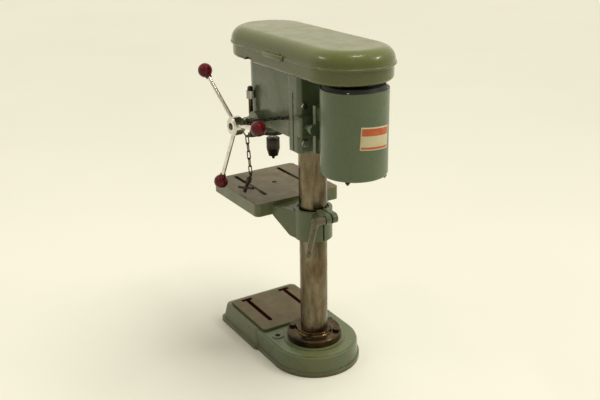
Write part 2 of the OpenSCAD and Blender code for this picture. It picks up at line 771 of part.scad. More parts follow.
module depth_collar() color(dark_steel) at_spindle(quill_low_z + 1) difference() {
  union() {
    cylinder(r = collar_r, h = collar_h);
    linear_extrude(collar_h) {
      translate([0, -10]) square([stop_x, 20]);
      translate([stop_x, 0]) circle(10);
    }
  }
  translate([0, 0, -past]) cylinder(r = quill_d / 2 + seat_gap, h = collar_h + 2 * past);
  translate([stop_x, 0, -past]) cylinder(d = stop_rod_d, h = collar_h + 2 * past);
}
module depth_rod() color(dark_steel) translate([stop_x, spindle_y, quill_low_z + 1])
  cylinder(d = stop_rod_d - 2 * seat_gap, h = lock_nut_z + lock_nut_h - 4 - quill_low_z - 1);
module depth_nut() color(bright_steel) translate([stop_x, spindle_y, depth_nut_z])
  linear_extrude(depth_nut_h) difference() {
  circle(d = depth_nut_d);
  circle(r = stop_rod_d / 2 + run_gap);
  for (a = [0:20:340]) rotate(a) translate([depth_nut_d / 2 + 0.7, 0]) circle(1.3);
}
module depth_lock_nut() color(black) translate([stop_x, spindle_y, lock_nut_z]) difference() {
  union() {
    cylinder(d = stop_rod_d + 5, h = lock_nut_h - 4, $fn = 6);
    translate([0, 0, lock_nut_h - 4]) cylinder(d1 = stop_rod_d + 3, d2 = stop_rod_d - 3, h = 4);
  }
  translate([0, 0, -past]) cylinder(r = stop_rod_d / 2 + run_gap, h = lock_nut_h - 3 + past);
}

// Chuck

module chuck_body() color(black) at_spindle() difference() {
  rotate_extrude() polygon([[0, chuck_nose_z], [chuck_nose_r, chuck_nose_z],
    [chuck_body_r, chuck_shoulder_z], [chuck_body_r, chuck_top_z - 1],
    [chuck_body_r - 2, chuck_top_z + 1], [0, chuck_top_z + 1]]);
  translate([0, 0, nose_z - 30]) cylinder(r1 = 6.8 + seat_gap, r2 = 7.6 + seat_gap, h = 30);
  translate([0, 0, chuck_nose_z - past]) cylinder(r = 5.4, h = nose_z - 30 - chuck_nose_z + 2 * past);
  for (k = [0:2]) rotate(90 + 120 * k) translate([0, 0, jaw_tip_z]) rotate([0, jaw_slant, 0])
    translate([0, 0, -past]) cylinder(d = jaw_d + 2 * run_gap, h = jaw_l + jaw_travel + 4);
}
module chuck_sleeve() color(black) at_spindle() difference() {
  rotate_extrude() polygon([[chuck_nose_r + 0.25, chuck_nose_z + 0.5],
    [chuck_nose_r + 1.7, chuck_nose_z + 0.5], [chuck_d / 2, chuck_shoulder_z + 1],
    [chuck_d / 2, chuck_top_z], [chuck_d / 2 - 1, chuck_top_z + 1],
    [chuck_body_r + run_gap, chuck_top_z + 1], [chuck_body_r + run_gap, chuck_shoulder_z]]);
  for (a = [0:15:345]) rotate(a) translate([chuck_d / 2 + 0.5, 0, chuck_shoulder_z + 4])
    cylinder(r = 1, h = chuck_top_z - chuck_shoulder_z - 8);
}
module chuck_jaw(k) color(dark_steel) at_spindle() rotate(90 + 120 * k) intersection() {
  translate([0, 0, jaw_tip_z]) rotate([0, jaw_slant, 0]) cylinder(d = jaw_d, h = jaw_l);
  translate([0, 0, jaw_tip_z]) linear_extrude(2 * jaw_l) polygon([[0.15, 0], [30, 51], [30, -51]]);
}
module chuck_jaw_1() chuck_jaw(0);
module chuck_jaw_2() chuck_jaw(1);
module chuck_jaw_3() chuck_jaw(2);

// Feed handles

module feed_shaft() color(bright_steel) {
  at_feed(-14) linear_extrude(28) rotate(-90) pinion_outline();
  at_feed(-housing_w / 2 - feed_boss_out - cap_l + 5)
    cylinder(d = feed_shaft_d, h = hub_end_x - 3 + housing_w / 2 + feed_boss_out + cap_l - 5);
  at_feed(housing_w / 2 + feed_boss_out + air)
    cylinder(r = neck_r, h = hub_low_x - housing_w / 2 - feed_boss_out - air);
}
// Spoke k: local Z runs from the hub's middle along the spoke
module at_spoke(k) translate([root_x, feed_y, feed_z]) rotate([-spoke_turn - 120 * k, 0, 0])
  rotate([90, 0, 0])
  rotate([0, spoke_lean, 0]) children();
module feed_hub() color(bright_steel) difference() {
  union() {
    at_feed(hub_low_x) cylinder(r1 = hub_d / 2 - 6, r2 = hub_d / 2, h = 8);
    at_feed(hub_low_x + 8) cylinder(d = hub_d, h = hub_l - 12);
    at_feed(hub_end_x - 4) cylinder(r1 = hub_d / 2, r2 = hub_d / 2 - 4, h = 4);
  }
  at_feed(hub_low_x - past) cylinder(d = feed_shaft_d + 2 * seat_gap, h = hub_l + 2 * past);
  for (k = [0:2]) at_spoke(k) translate([0, 0, spoke_root - 3])
    cylinder(d = spoke_d + 2 * seat_gap, h = hub_d);
}
module hub_screw() color(bronze) at_feed(hub_end_x - 3) difference() {
  union() {
    cylinder(d = feed_shaft_d, h = 4);
    translate([0, 0, 4]) cylinder(d1 = feed_shaft_d, d2 = feed_shaft_d - 6, h = 2);
  }
  translate([-1, -feed_shaft_d, 4.5]) cube([2, 2 * feed_shaft_d, 4]);
}
module feed_spoke(k) color(bright_steel) at_spoke(k) translate([0, 0, spoke_root - 3 + seat_gap])
  cylinder(d = spoke_d, h = spoke_l - spoke_root + 3 - ball_d / 2 + collar_in_ball);
module feed_spoke_1() feed_spoke(0);
module feed_spoke_2() feed_spoke(1);
module feed_spoke_3() feed_spoke(2);
module ball_knob(k) color(maroon) at_spoke(k) difference() {
  union() {
    translate([0, 0, spoke_l]) sphere(d = ball_d);
    translate([0, 0, spoke_l - ball_d / 2 - 4]) cylinder(d1 = spoke_d + 5, d2 = spoke_d + 8, h = 8);
  }
  cylinder(d = spoke_d + 2 * seat_gap, h = spoke_l - ball_d / 2 + collar_in_ball + 2 * seat_gap);
}
module ball_knob_1() ball_knob(0);
module ball_knob_2() ball_knob(1);
module ball_knob_3() ball_knob(2);

// Pulleys and belt

// Half outline of a four-step pulley; radii run from the bottom step up
module pulley_outline(radii, bore) {
  difference() {
    for (i = [0:3]) translate([0, i * step_h]) square([radii[i] + belt_out, step_h]);
    translate([-past, -past]) square([bore + past, pulley_h + 2 * past]);
    for (i = [0:3]) translate([radii[i], (i + 0.5) * step_h]) polygon([
      [belt_out + past, groove_half + past * groove_slope],
      [belt_out + past, -groove_half - past * groove_slope],
      [-belt_t + belt_out - 2, -groove_half + (belt_t + 2) * groove_slope],
      [-belt_t + belt_out - 2, groove_half - (belt_t + 2) * groove_slope]]);
  }
}
module spindle_pulley() color(bright_steel) at_spindle(pulley_z)
  rotate_extrude() pulley_outline([for (i = [0:3]) step_r - i * step_fall], sleeve_d / 2 + seat_gap);
module motor_pulley() color(bright_steel) at_motor(pulley_z)
  rotate_extrude() pulley_outline([for (i = [0:3]) step_r - (3 - i) * step_fall],
    motor_shaft_d / 2 + seat_gap);

module belt_section() polygon([[belt_out, belt_w / 2], [belt_out, -belt_w / 2],
  [belt_out - belt_t, -belt_w / 2 + belt_t * groove_slope],
  [belt_out - belt_t, belt_w / 2 - belt_t * groove_slope]]);
// Right half of the belt: half of each wrap and the straight run between them
module belt_half() intersection() {
  run = axis_gap * cos(belt_tilt);
  reach = 2 * step_r;
  translate([0, -reach, -belt_w]) cube([reach, axis_gap + 2 * reach, 2 * belt_w]);
  rotate(belt_tilt) {
    mirror([0, 1, 0]) rotate_extrude(angle = 95) translate([spindle_step, 0]) belt_section();
    translate([spindle_step - motor_step, run, 0]) rotate_extrude(angle = 95)
      translate([motor_step, 0]) belt_section();
    translate([spindle_step, run, 0]) rotate([90, 0, 0]) linear_extrude(run) belt_section();
  }
}
module v_belt() color(black) at_spindle(belt_z) {
  belt_half();
  mirror([1, 0, 0]) belt_half();
}

// Belt cover

// Sweeps a half outline (x >= 0) round the long track with two round ends
module track() {
  front = column_y - cover_front;
  rear = column_y + cover_rear;
  translate([0, rear, 0]) rotate_extrude(angle = 180) children();
  translate([0, front, 0]) rotate(180) rotate_extrude(angle = 180) children();
  translate([0, rear, 0]) rotate([90, 0, 0]) linear_extrude(rear - front) {
    children();
    mirror([1, 0]) children();
  }
}
module pan_outline(inset) {
  e = pan_round - inset;
  top = pan_h + (inset > 0 ? past : 0);
  translate([0, inset]) square([pan_r - pan_round, top - inset]);
  translate([0, pan_round]) square([pan_r - inset, top - pan_round]);
  translate([pan_r - pan_round, pan_round]) circle(e);
}
module belt_pan() color(cover_green) difference() {
  translate([0, 0, head_top_z]) track() pan_outline(0);
  translate([0, 0, head_top_z]) track() pan_outline(sheet_t);
  at_spindle(head_top_z - past) cylinder(d = sleeve_d + 10, h = 2 * sheet_t);
  for (y = [-motor_travel, 0]) at_motor(head_top_z - past) translate([0, y, 0])
    cylinder(d = motor_shaft_d + 14, h = 2 * sheet_t);
  translate([-motor_shaft_d / 2 - 7, motor_y - motor_travel, head_top_z - past])
    cube([motor_shaft_d + 14, motor_travel, 2 * sheet_t]);
  for (p = pan_screw_places) translate([p.x, p.y, head_top_z - past]) cylinder(d = 6, h = 2 * sheet_t);
  translate([pan_r - 2 * pan_round, notch_y, head_top_z + notch_h - notch_r]) rotate([0, 90, 0])
    cylinder(r = notch_r, h = 3 * pan_round);
}
module pan_screws() color(bright_steel) for (p = pan_screw_places)
  translate([p.x, p.y, head_top_z + sheet_t]) {
  cylinder(d1 = 11, d2 = 7, h = 3.2);
  translate([0, 0, -12]) cylinder(d = 6 - 2 * seat_gap, h = 12);
}
module lid_outline(inset) intersection() {
  r = lid_r - inset;
  h = lid_h - inset;
  e = lid_round - inset;
  translate([0, inset > 0 ? -past : 0]) square([lid_r + bead_r, h + (inset > 0 ? past : 0)]);
  union() {
    translate([0, -past]) square([r, h - e + past]);
    square([r - e, h]);
    translate([r - e, h - e]) circle(e);
  }
}
module belt_lid() color(cover_green) {
  translate([0, 0, lid_z]) difference() {
    track() {
      lid_outline(0);
      translate([lid_r - 0.6, bead_r]) circle(bead_r);
    }
    track() lid_outline(sheet_t);
  }
  for (s = [-1, 1]) translate([0, column_y + s * hinge_pitch / 2, 0]) difference() {
    union() {
      translate([hinge_x, -knuckle_l / 2, hinge_z]) rotate([-90, 0, 0])
        cylinder(r = knuckle_r, h = knuckle_l);
      translate([hinge_x, -knuckle_l / 2, lid_z - 1.5]) cube([-hinge_x - lid_r + 0.6, knuckle_l, 2.5]);
    }
    translate([hinge_x, -knuckle_l, hinge_z]) rotate([-90, 0, 0])
      cylinder(r = hinge_pin_d / 2 + run_gap, h = 2 * knuckle_l);
  }
  translate([lid_r - 1, column_y - 3, lid_z + bead_r]) rotate([0, 90, 0]) linear_extrude(sheet_t)
    rounded_rect(2 * tab_drop, tab_l, 5);
}
module lid_hinge() color(cover_green) for (s = [-1, 1])
  translate([0, column_y + s * hinge_pitch / 2, 0]) difference() {
  length = 3 * knuckle_l + 2 * knuckle_gap;
  union() {
    translate([-pan_r - 2.2, -length / 2, hinge_z - 20]) cube([2.2 - seat_gap, length, 17]);
    for (t = [-1, 1]) translate([0, t * (knuckle_l + knuckle_gap), 0]) {
      translate([hinge_x, -knuckle_l / 2, hinge_z]) rotate([-90, 0, 0])
        cylinder(r = knuckle_r, h = knuckle_l);
      translate([hinge_x, -knuckle_l / 2, hinge_z - knuckle_r])
        cube([-hinge_x - pan_r - 1, knuckle_l, 2.5]);
    }
  }
  translate([hinge_x, -length, hinge_z]) rotate([-90, 0, 0])
    cylinder(r = hinge_pin_d / 2, h = 2 * length);
}
module lid_hinge_pins() color(bright_steel) for (s = [-1, 1])
  translate([hinge_x, column_y + s * hinge_pitch / 2 - 1.5 * knuckle_l - 3, hinge_z]) rotate([-90, 0, 0])
    cylinder(d = hinge_pin_d - 2 * seat_gap, h = 3 * knuckle_l + 6);

// Motor

module motor_plate() color(head_green) difference() {
  union() {
    translate([-plate_w / 2, plate_y, plate_z - plate_h / 2]) cube([plate_w, plate_t, plate_h]);
    for (s = [-1, 1]) translate([s * slide_bar_pitch / 2, plate_y, slide_bar_z]) rotate([-90, 0, 0])
      cylinder(d = slide_bar_d + 2 * ear_wall, h = plate_t);
    for (z = [-1, 1]) translate([-pad_half, plate_y + plate_t - past, plate_z + z * motor_bolt_rise - 15])
      cube([2 * pad_half, plate_gap + 20, 30]);
  }
  at_motor(motor_low_z) cylinder(r = motor_r + 0.1, h = motor_l);
  for (s = [-1, 1]) translate([s * slide_bar_pitch / 2, plate_y - past, slide_bar_z])
    rotate([-90, 0, 0]) cylinder(d = slide_bar_d, h = plate_t + 2 * past);
  motor_bolt_axes() translate([0, 0, -past]) cylinder(d = 8, h = plate_t + plate_gap + 40);
}
module motor_bolt_axes() for (s = [-1, 1], z = [-1, 1])
  translate([s * 25, plate_y, plate_z + z * motor_bolt_rise]) rotate([-90, 0, 0]) children();
module motor_slide_bars() color(bright_steel) for (s = [-1, 1])
  translate([s * slide_bar_pitch / 2, slide_bar_front, slide_bar_z]) rotate([-90, 0, 0])
    cylinder(d = slide_bar_d - 2 * seat_gap, h = plate_y + plate_t - slide_bar_front);
module motor_bolts() color(dark_steel) motor_bolt_axes() rotate([180, 0, 0])
  hex_bolt(8, plate_t + plate_gap + 6);

module motor_shell() color(head_green) difference() {
  at_motor(motor_low_z) rotate_extrude()
    polygon([[0, 0], [motor_r - 6, 0], [motor_r - 2, 2], [motor_r, 6], [motor_r, motor_l], [0, motor_l]]);
  at_motor(motor_low_z) rotate_extrude()
    polygon([[0, motor_sheet], [motor_r - motor_sheet - 4, motor_sheet],
    [motor_r - motor_sheet, motor_sheet + 4], [motor_r - motor_sheet, motor_l + past],
    [0, motor_l + past]]);
  motor_bolt_axes() cylinder(d = 8, h = plate_t + plate_gap + 30);
  at_gland() cylinder(d = gland_d, h = 20, center = true);
}
module motor_top_bell() color(black) at_motor(motor_top_z) difference() {
  union() {
    translate([0, 0, -10]) cylinder(r = motor_r - motor_sheet - 0.1, h = 10);
    cylinder(r1 = motor_r - 4, r2 = motor_r - 8, h = 8);
    cylinder(r = 30, h = 11);
  }
  translate([0, 0, -10 - past]) cylinder(r = motor_r - 14, h = 12);
  translate([0, 0, -past]) cylinder(r = motor_bearing_r + seat_gap, h = past + motor_bearing_h - 4);
  translate([0, 0, -past]) cylinder(d = motor_shaft_d + 4, h = 30);
}
module motor_lower_bell() color(black) at_motor(motor_low_z + motor_sheet) difference() {
  union() {
    translate([0, 0, air]) cylinder(r = motor_r - motor_sheet - 4.5, h = 6);
    cylinder(r = motor_bearing_r + 8, h = 8 + motor_bearing_h);
  }
  translate([0, 0, 8]) cylinder(r = motor_bearing_r + seat_gap, h = motor_bearing_h + past);
}
module stator() color(copper) at_motor(core_low_z) {
  difference() {
    cylinder(r = stator_r, h = core_h);
    translate([0, 0, -past]) cylinder(r = rotor_r + 0.5, h = core_h + 2 * past);
    for (a = [0:30:330]) rotate(a) translate([rotor_r + 12, 0, -past])
      cylinder(r = 6, h = core_h + 2 * past);
  }
}
module rotor() color(bright_steel) at_motor(core_low_z) {
  ring(rotor_r, motor_shaft_d / 2 + seat_gap, core_h);
}
module motor_shaft() color(bright_steel) at_motor(motor_low_z + motor_sheet + 8)
  cylinder(d = motor_shaft_d, h = pulley_z + pulley_h + 3 - motor_low_z - motor_sheet - 8);
module motor_bearings() color(bright_steel) for (z = [motor_low_z + motor_sheet + 8,
  motor_top_z + 8 - motor_bearing_h])
  at_motor(z) ball_bearing(motor_bearing_r, motor_shaft_d / 2 + run_gap, motor_bearing_h);
// Local Z runs outwards through the shell, low on its left front quarter
module at_gland() at_motor(motor_low_z + 25) rotate(225) translate([motor_r, 0, 0]) rotate([0, 90, 0])
  children();
gland_d = 16;
module cord_gland() color(black) at_gland() {
  translate([0, 0, -6]) ring(gland_d / 2 - seat_gap, gland_d / 4, 8);
  translate([0, 0, 2]) ring(gland_d / 2 + 3, gland_d / 4, 4);
}

// Switch on the left side of the head

switch_y = spindle_y + 66;
switch_z = head_top_z - 60;
switch_depth = 26;
switch_w = 44;
switch_h = 64;
switch_wall = 2.5;
rocker_w = 13;
rocker_tilt = 14;
module at_switch() translate([-head_w / 2 - switch_depth, switch_y, switch_z]) children();
module switch_box() color(black) at_switch() difference() {
  inner_w = switch_w - 2 * switch_wall;
  inner_h = switch_h - 2 * switch_wall;
  translate([0, -switch_w / 2, -switch_h / 2]) cube([switch_depth - seat_gap, switch_w, switch_h]);
  translate([switch_wall, -inner_w / 2, -inner_h / 2])
    cube([switch_depth - 2 * switch_wall, inner_w, inner_h]);
  translate([-past, -rocker_w / 2 - air, -14]) cube([switch_wall + 2 * past, rocker_w + 2 * air, 28]);
}
module switch_toggle() color(maroon) at_switch() translate([switch_wall + 5, 0, 0]) {
  rotate([90, 0, 0]) cylinder(r = 4, h = switch_w - 2 * switch_wall - air, center = true);
  rotate([0, -rocker_tilt, 0]) translate([-8, 0, 0]) cube([16, rocker_w, 9], center = true);
}

// Chain and key

// One oval link, centred, long axis along local Z
module chain_link() {
  for (s = [-1, 1]) translate([s * link_half, 0, -link_straight / 2])
    cylinder(r = wire_r, h = link_straight);
  for (t = [0, 180]) rotate([t, 0, 0]) translate([0, 0, link_straight / 2]) rotate([90, 0, 0])
    rotate_extrude(angle = 180) translate([link_half, 0]) circle(wire_r);
}
// Links laid end to end on the joints p, each a quarter turn from the last
module chain_run(p, roll) for (i = [0:len(p) - 2]) along(p[i], p[i + 1])
  translate([0, 0, chain_pitch / 2]) rotate(roll + 90 * i) chain_link();

slope_dir = [0, -cos(ledge_slope), -sin(ledge_slope)];
function yawed(a) = slope_dir * cos(a) + [sin(a), 0, 0];
laid_dirs = [for (i = [0:laid_links + 2])
  yawed(i < laid_links ? 0 : i == laid_links ? laid_yaw / 2 : laid_yaw)];
laid_last = len(laid_dirs);
// Joints are counted back from the ring so that the last link hangs on it
function laid_joint(i) = i == laid_last ? laid_end + yawed(laid_yaw) * (ring_wire + hook_gap)
  : laid_joint(i + 1) - chain_pitch * laid_dirs[i];
laid_joints = [for (i = [0:laid_last]) laid_joint(i)];
hang_dir = [-sin(hang_lean), 0, -cos(hang_lean)];
hang_joints = [for (i = [0:hanging_links]) hang_start + hang_dir * (i * chain_pitch)];

// The ring hangs on the neck of the feed shaft, and both runs hook into it
module chain_on_head() color(dark_steel) {
  chain_run(laid_joints, laid_roll);
  translate([ring_x, feed_y, ring_z]) rotate([0, 90, 0]) rotate_extrude() translate([ring_r, 0])
    circle(ring_wire);
}
module chain_hanging() color(dark_steel) chain_run(hang_joints, 0);
// Closed eye in the local XZ plane, centred
eye_r = 4.5;
anchor_r = 2;
anchor_back = laid_joints[0] + laid_dirs[0] * (link_over - 2 * eye_r);
module eye() rotate([90, 0, 0]) rotate_extrude() translate([eye_r, 0]) circle(wire_r);
module chain_anchor() color(dark_steel) {
  first = laid_joints[0];
  back = anchor_back;
  along(first, laid_joints[1]) translate([0, 0, link_over - eye_r]) rotate(laid_roll - 90) eye();
  translate(back) rotate([-90, 0, 0]) cylinder(r = anchor_r - seat_gap, h = boss_front_y + 12 - back.y);
}
module chuck_key() color(black) {
  last = hang_joints[hanging_links];
  eye_at = last + hang_dir * (eye_r - link_over);
  key_l = norm(key_tip - eye_at);
  along(last, last + hang_dir) rotate(90 * hanging_links) translate([0, 0, eye_r - link_over]) eye();
  along(eye_at, key_tip) {
    translate([0, 0, eye_r - 1]) cylinder(r = 2.5, h = 6);
    translate([0, 0, eye_r + 3]) difference() {
      cylinder(d1 = 12, d2 = 16, h = 13);
      for (a = [0:36:324]) rotate(a) translate([8, 0, -past]) cylinder(r = 1.6, h = 9);
    }
    translate([0, 0, eye_r + 15]) cylinder(d = key_d, h = key_l - eye_r - 15);
    translate([0, 0, 0.74 * key_l]) rotate(key_bar_turn) rotate([90, 0, 0])
      cylinder(d = key_d - 2, h = key_bar_l, center = true);
  }
}

base_casting();
column();
column_flange();
flange_bolts();
table();
table_clamp_bolt();
table_clamp_lever();
head_casting();
head_clamp_bolts();
feed_bushings();
spring_cap();
return_spring();
sleeve_bearings();
pulley_sleeve();
spindle_pulley();
v_belt();
quill();
quill_bearings();
spindle();
depth_collar();
depth_rod();
depth_nut();
depth_lock_nut();
chuck_body();
chuck_sleeve();
chuck_jaw_1();
chuck_jaw_2();
chuck_jaw_3();
feed_shaft();
feed_hub();
hub_screw();
feed_spoke_1();
feed_spoke_2();
feed_spoke_3();
ball_knob_1();
ball_knob_2();
ball_knob_3();
belt_pan();
pan_screws();
belt_lid();
lid_hinge();
lid_hinge_pins();
motor_plate();
motor_slide_bars();
motor_bolts();
motor_shell();
motor_top_bell();
motor_lower_bell();
stator();
rotor();
motor_shaft();
motor_bearings();
motor_pulley();
cord_gland();
switch_box();
switch_toggle();
chain_anchor();
chain_on_head();
chain_hanging();
chuck_key();
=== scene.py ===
import math

import bpy
from mathutils import Matrix, Vector


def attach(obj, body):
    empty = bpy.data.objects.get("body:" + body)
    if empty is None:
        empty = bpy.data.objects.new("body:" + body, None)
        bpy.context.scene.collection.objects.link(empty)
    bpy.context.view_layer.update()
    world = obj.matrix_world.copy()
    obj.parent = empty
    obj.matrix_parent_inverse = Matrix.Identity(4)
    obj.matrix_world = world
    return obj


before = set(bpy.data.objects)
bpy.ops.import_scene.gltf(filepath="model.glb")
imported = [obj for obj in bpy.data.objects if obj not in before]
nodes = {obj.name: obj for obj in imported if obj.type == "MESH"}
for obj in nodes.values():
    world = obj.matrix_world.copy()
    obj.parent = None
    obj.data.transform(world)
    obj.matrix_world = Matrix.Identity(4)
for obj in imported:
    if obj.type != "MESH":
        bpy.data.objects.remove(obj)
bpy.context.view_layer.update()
bpy.ops.object.select_all(action="DESELECT")
print("frame loaded:", len(nodes), "nodes")


# Camera and light

cameraFit = {
    "place": (1.00993, 1.65356, 1.16410),
    "azimuth": 148.76,
    "elevation": 21.04,
    "roll": -0.91,
    "lens": 49.50,
    "sensor": 36.0,
    "nearest": 0.05,
    "farthest": 100,
}


def addCamera(fit):
    a, e, r = (math.radians(fit[k]) for k in ("azimuth", "elevation", "roll"))
    back = Vector((math.sin(a) * math.cos(e), -math.cos(a) * math.cos(e), math.sin(e)))
    right = Vector((math.cos(a), math.sin(a), 0))
    up = back.cross(right)
    turnedRight = right * math.cos(r) + up * math.sin(r)
    turnedUp = up * math.cos(r) - right * math.sin(r)
    data = bpy.data.cameras.new("photoCamera")
    data.lens = fit["lens"]
    data.sensor_width = fit["sensor"]
    data.clip_start = fit["nearest"]
    data.clip_end = fit["farthest"]
    camera = bpy.data.objects.new("photoCamera", data)
    bpy.context.scene.collection.objects.link(camera)
    turn = Matrix((turnedRight, turnedUp, back)).transposed().to_4x4()
    camera.matrix_world = Matrix.Translation(fit["place"]) @ turn
    bpy.context.scene.camera = camera


# One broad soft light from the ceiling, and three tubes that show in glossy paint
studio = {
    "wallSeen": (0.80, 0.75, 0.62),
    "roomSeen": (0.55, 0.515, 0.42),
    "roomSide": (0.52, 0.86, 0.0),
    "roomEdge": (-0.4, 0.8),
    "airLight": (0.25, 0.235, 0.185),
    "lightColor": (1.0, 0.985, 0.92),
    "ceiling": {"place": (-0.80, 0.49, 3.0), "aim": (0, 0, 0), "spread": 50, "power": 2.10},
    "tubes": [
        {
            "name": "tubeAbove", "place": (-0.17, 0.54, 2.4), "aim": (-0.17, 0.54, 0),
            "size": (0.5, 0.06), "power": 3.0,
        },
        {
            "name": "tubeRight", "place": (-1.5, 1.3, 2.2), "aim": (0, 0.15, 0.6),
            "size": (0.6, 0.07), "power": 6.0,
        },
        {
            "name": "tubeLeft", "place": (1.5, -0.7, 2.3), "aim": (0, -0.1, 0.6),
            "size": (0.6, 0.07), "power": 4.0,
        },
    ],
}


def placeLight(data, spot):
    data.color = studio["lightColor"]
    light = bpy.data.objects.new(data.name, data)
    bpy.context.scene.collection.objects.link(light)
    aim = Vector(spot["aim"]) - Vector(spot["place"])
    turn = aim.to_track_quat("-Z", "Y").to_matrix().to_4x4()
    light.matrix_world = Matrix.Translation(spot["place"]) @ turn
    light.visible_camera = False
    return light


def addCeiling(spot):
    data = bpy.data.lights.new("ceilingGlow", "SUN")
    data.angle = math.radians(spot["spread"])
    data.energy = spot["power"]
    placeLight(data, spot).visible_glossy = False


def addTube(spot):
    data = bpy.data.lights.new(spot["name"], "AREA")
    data.shape = "RECTANGLE"
    data.size, data.size_y = spot["size"]
    data.energy = spot["power"]
    placeLight(data, spot)


# 1 for what the camera, a mirror or glass sees, 0 for light on its way to the object
def seenRay(tree):
    path = tree.nodes.new("ShaderNodeLightPath")
    seen = path.outputs["Is Camera Ray"]
    for kind in ("Is Glossy Ray", "Is Transmission Ray"):
        either = tree.nodes.new("ShaderNodeMath")
        either.operation = "MAXIMUM"
        tree.links.new(seen, either.inputs[0])
        tree.links.new(path.outputs[kind], either.inputs[1])
        seen = either.outputs[0]
    return seen


def mixColor(tree, factor, a, b):
    mix = tree.nodes.new("ShaderNodeMix")
    mix.data_type = "RGBA"
    tree.links.new(factor, mix.inputs["Factor"])
    for key, value in (("A", a), ("B", b)):
        if isinstance(value, tuple):
            mix.inputs[key].default_value = (*value, 1)
        else:
            tree.links.new(value, mix.inputs[key])
    return mix.outputs["Result"]


# Reflections show a pale wall on one side and a darker room on the other
def addWorld(air):
    world = bpy.data.worlds.new("studioAir")
    bpy.context.scene.world = world
    world.use_nodes = True
    tree = world.node_tree
    tree.nodes.clear()
    facing = tree.nodes.new("ShaderNodeVectorMath")
    facing.operation = "DOT_PRODUCT"
    facing.inputs[1].default_value = air["roomSide"]
    coords = tree.nodes.new("ShaderNodeTexCoord")
    tree.links.new(coords.outputs["Generated"], facing.inputs[0])
    spread = tree.nodes.new("ShaderNodeMapRange")
    spread.interpolation_type = "SMOOTHSTEP"
    spread.inputs["From Min"].default_value = air["roomEdge"][0]
    spread.inputs["From Max"].default_value = air["roomEdge"][1]
    tree.links.new(facing.outputs["Value"], spread.inputs["Value"])
    seen = mixColor(tree, spread.outputs[0], air["wallSeen"], air["roomSeen"])
    color = mixColor(tree, seenRay(tree), air["airLight"], seen)
    background = tree.nodes.new("ShaderNodeBackground")
    tree.links.new(color, background.inputs["Color"])
    output = tree.nodes.new("ShaderNodeOutputWorld")
    tree.links.new(background.outputs[0], output.inputs["Surface"])


addCamera(cameraFit)
addWorld(studio)
addCeiling(studio["ceiling"])
for tube in studio["tubes"]:
    addTube(tube)
bpy.context.scene.view_settings.view_transform = "Standard"
print("camera and light set")


# Node helpers

bevelSamples = 6
# Where most of a noise's values lie
midRange = (0.3, 0.7)


def around(value, past):
    return tuple(value + step for step in past)


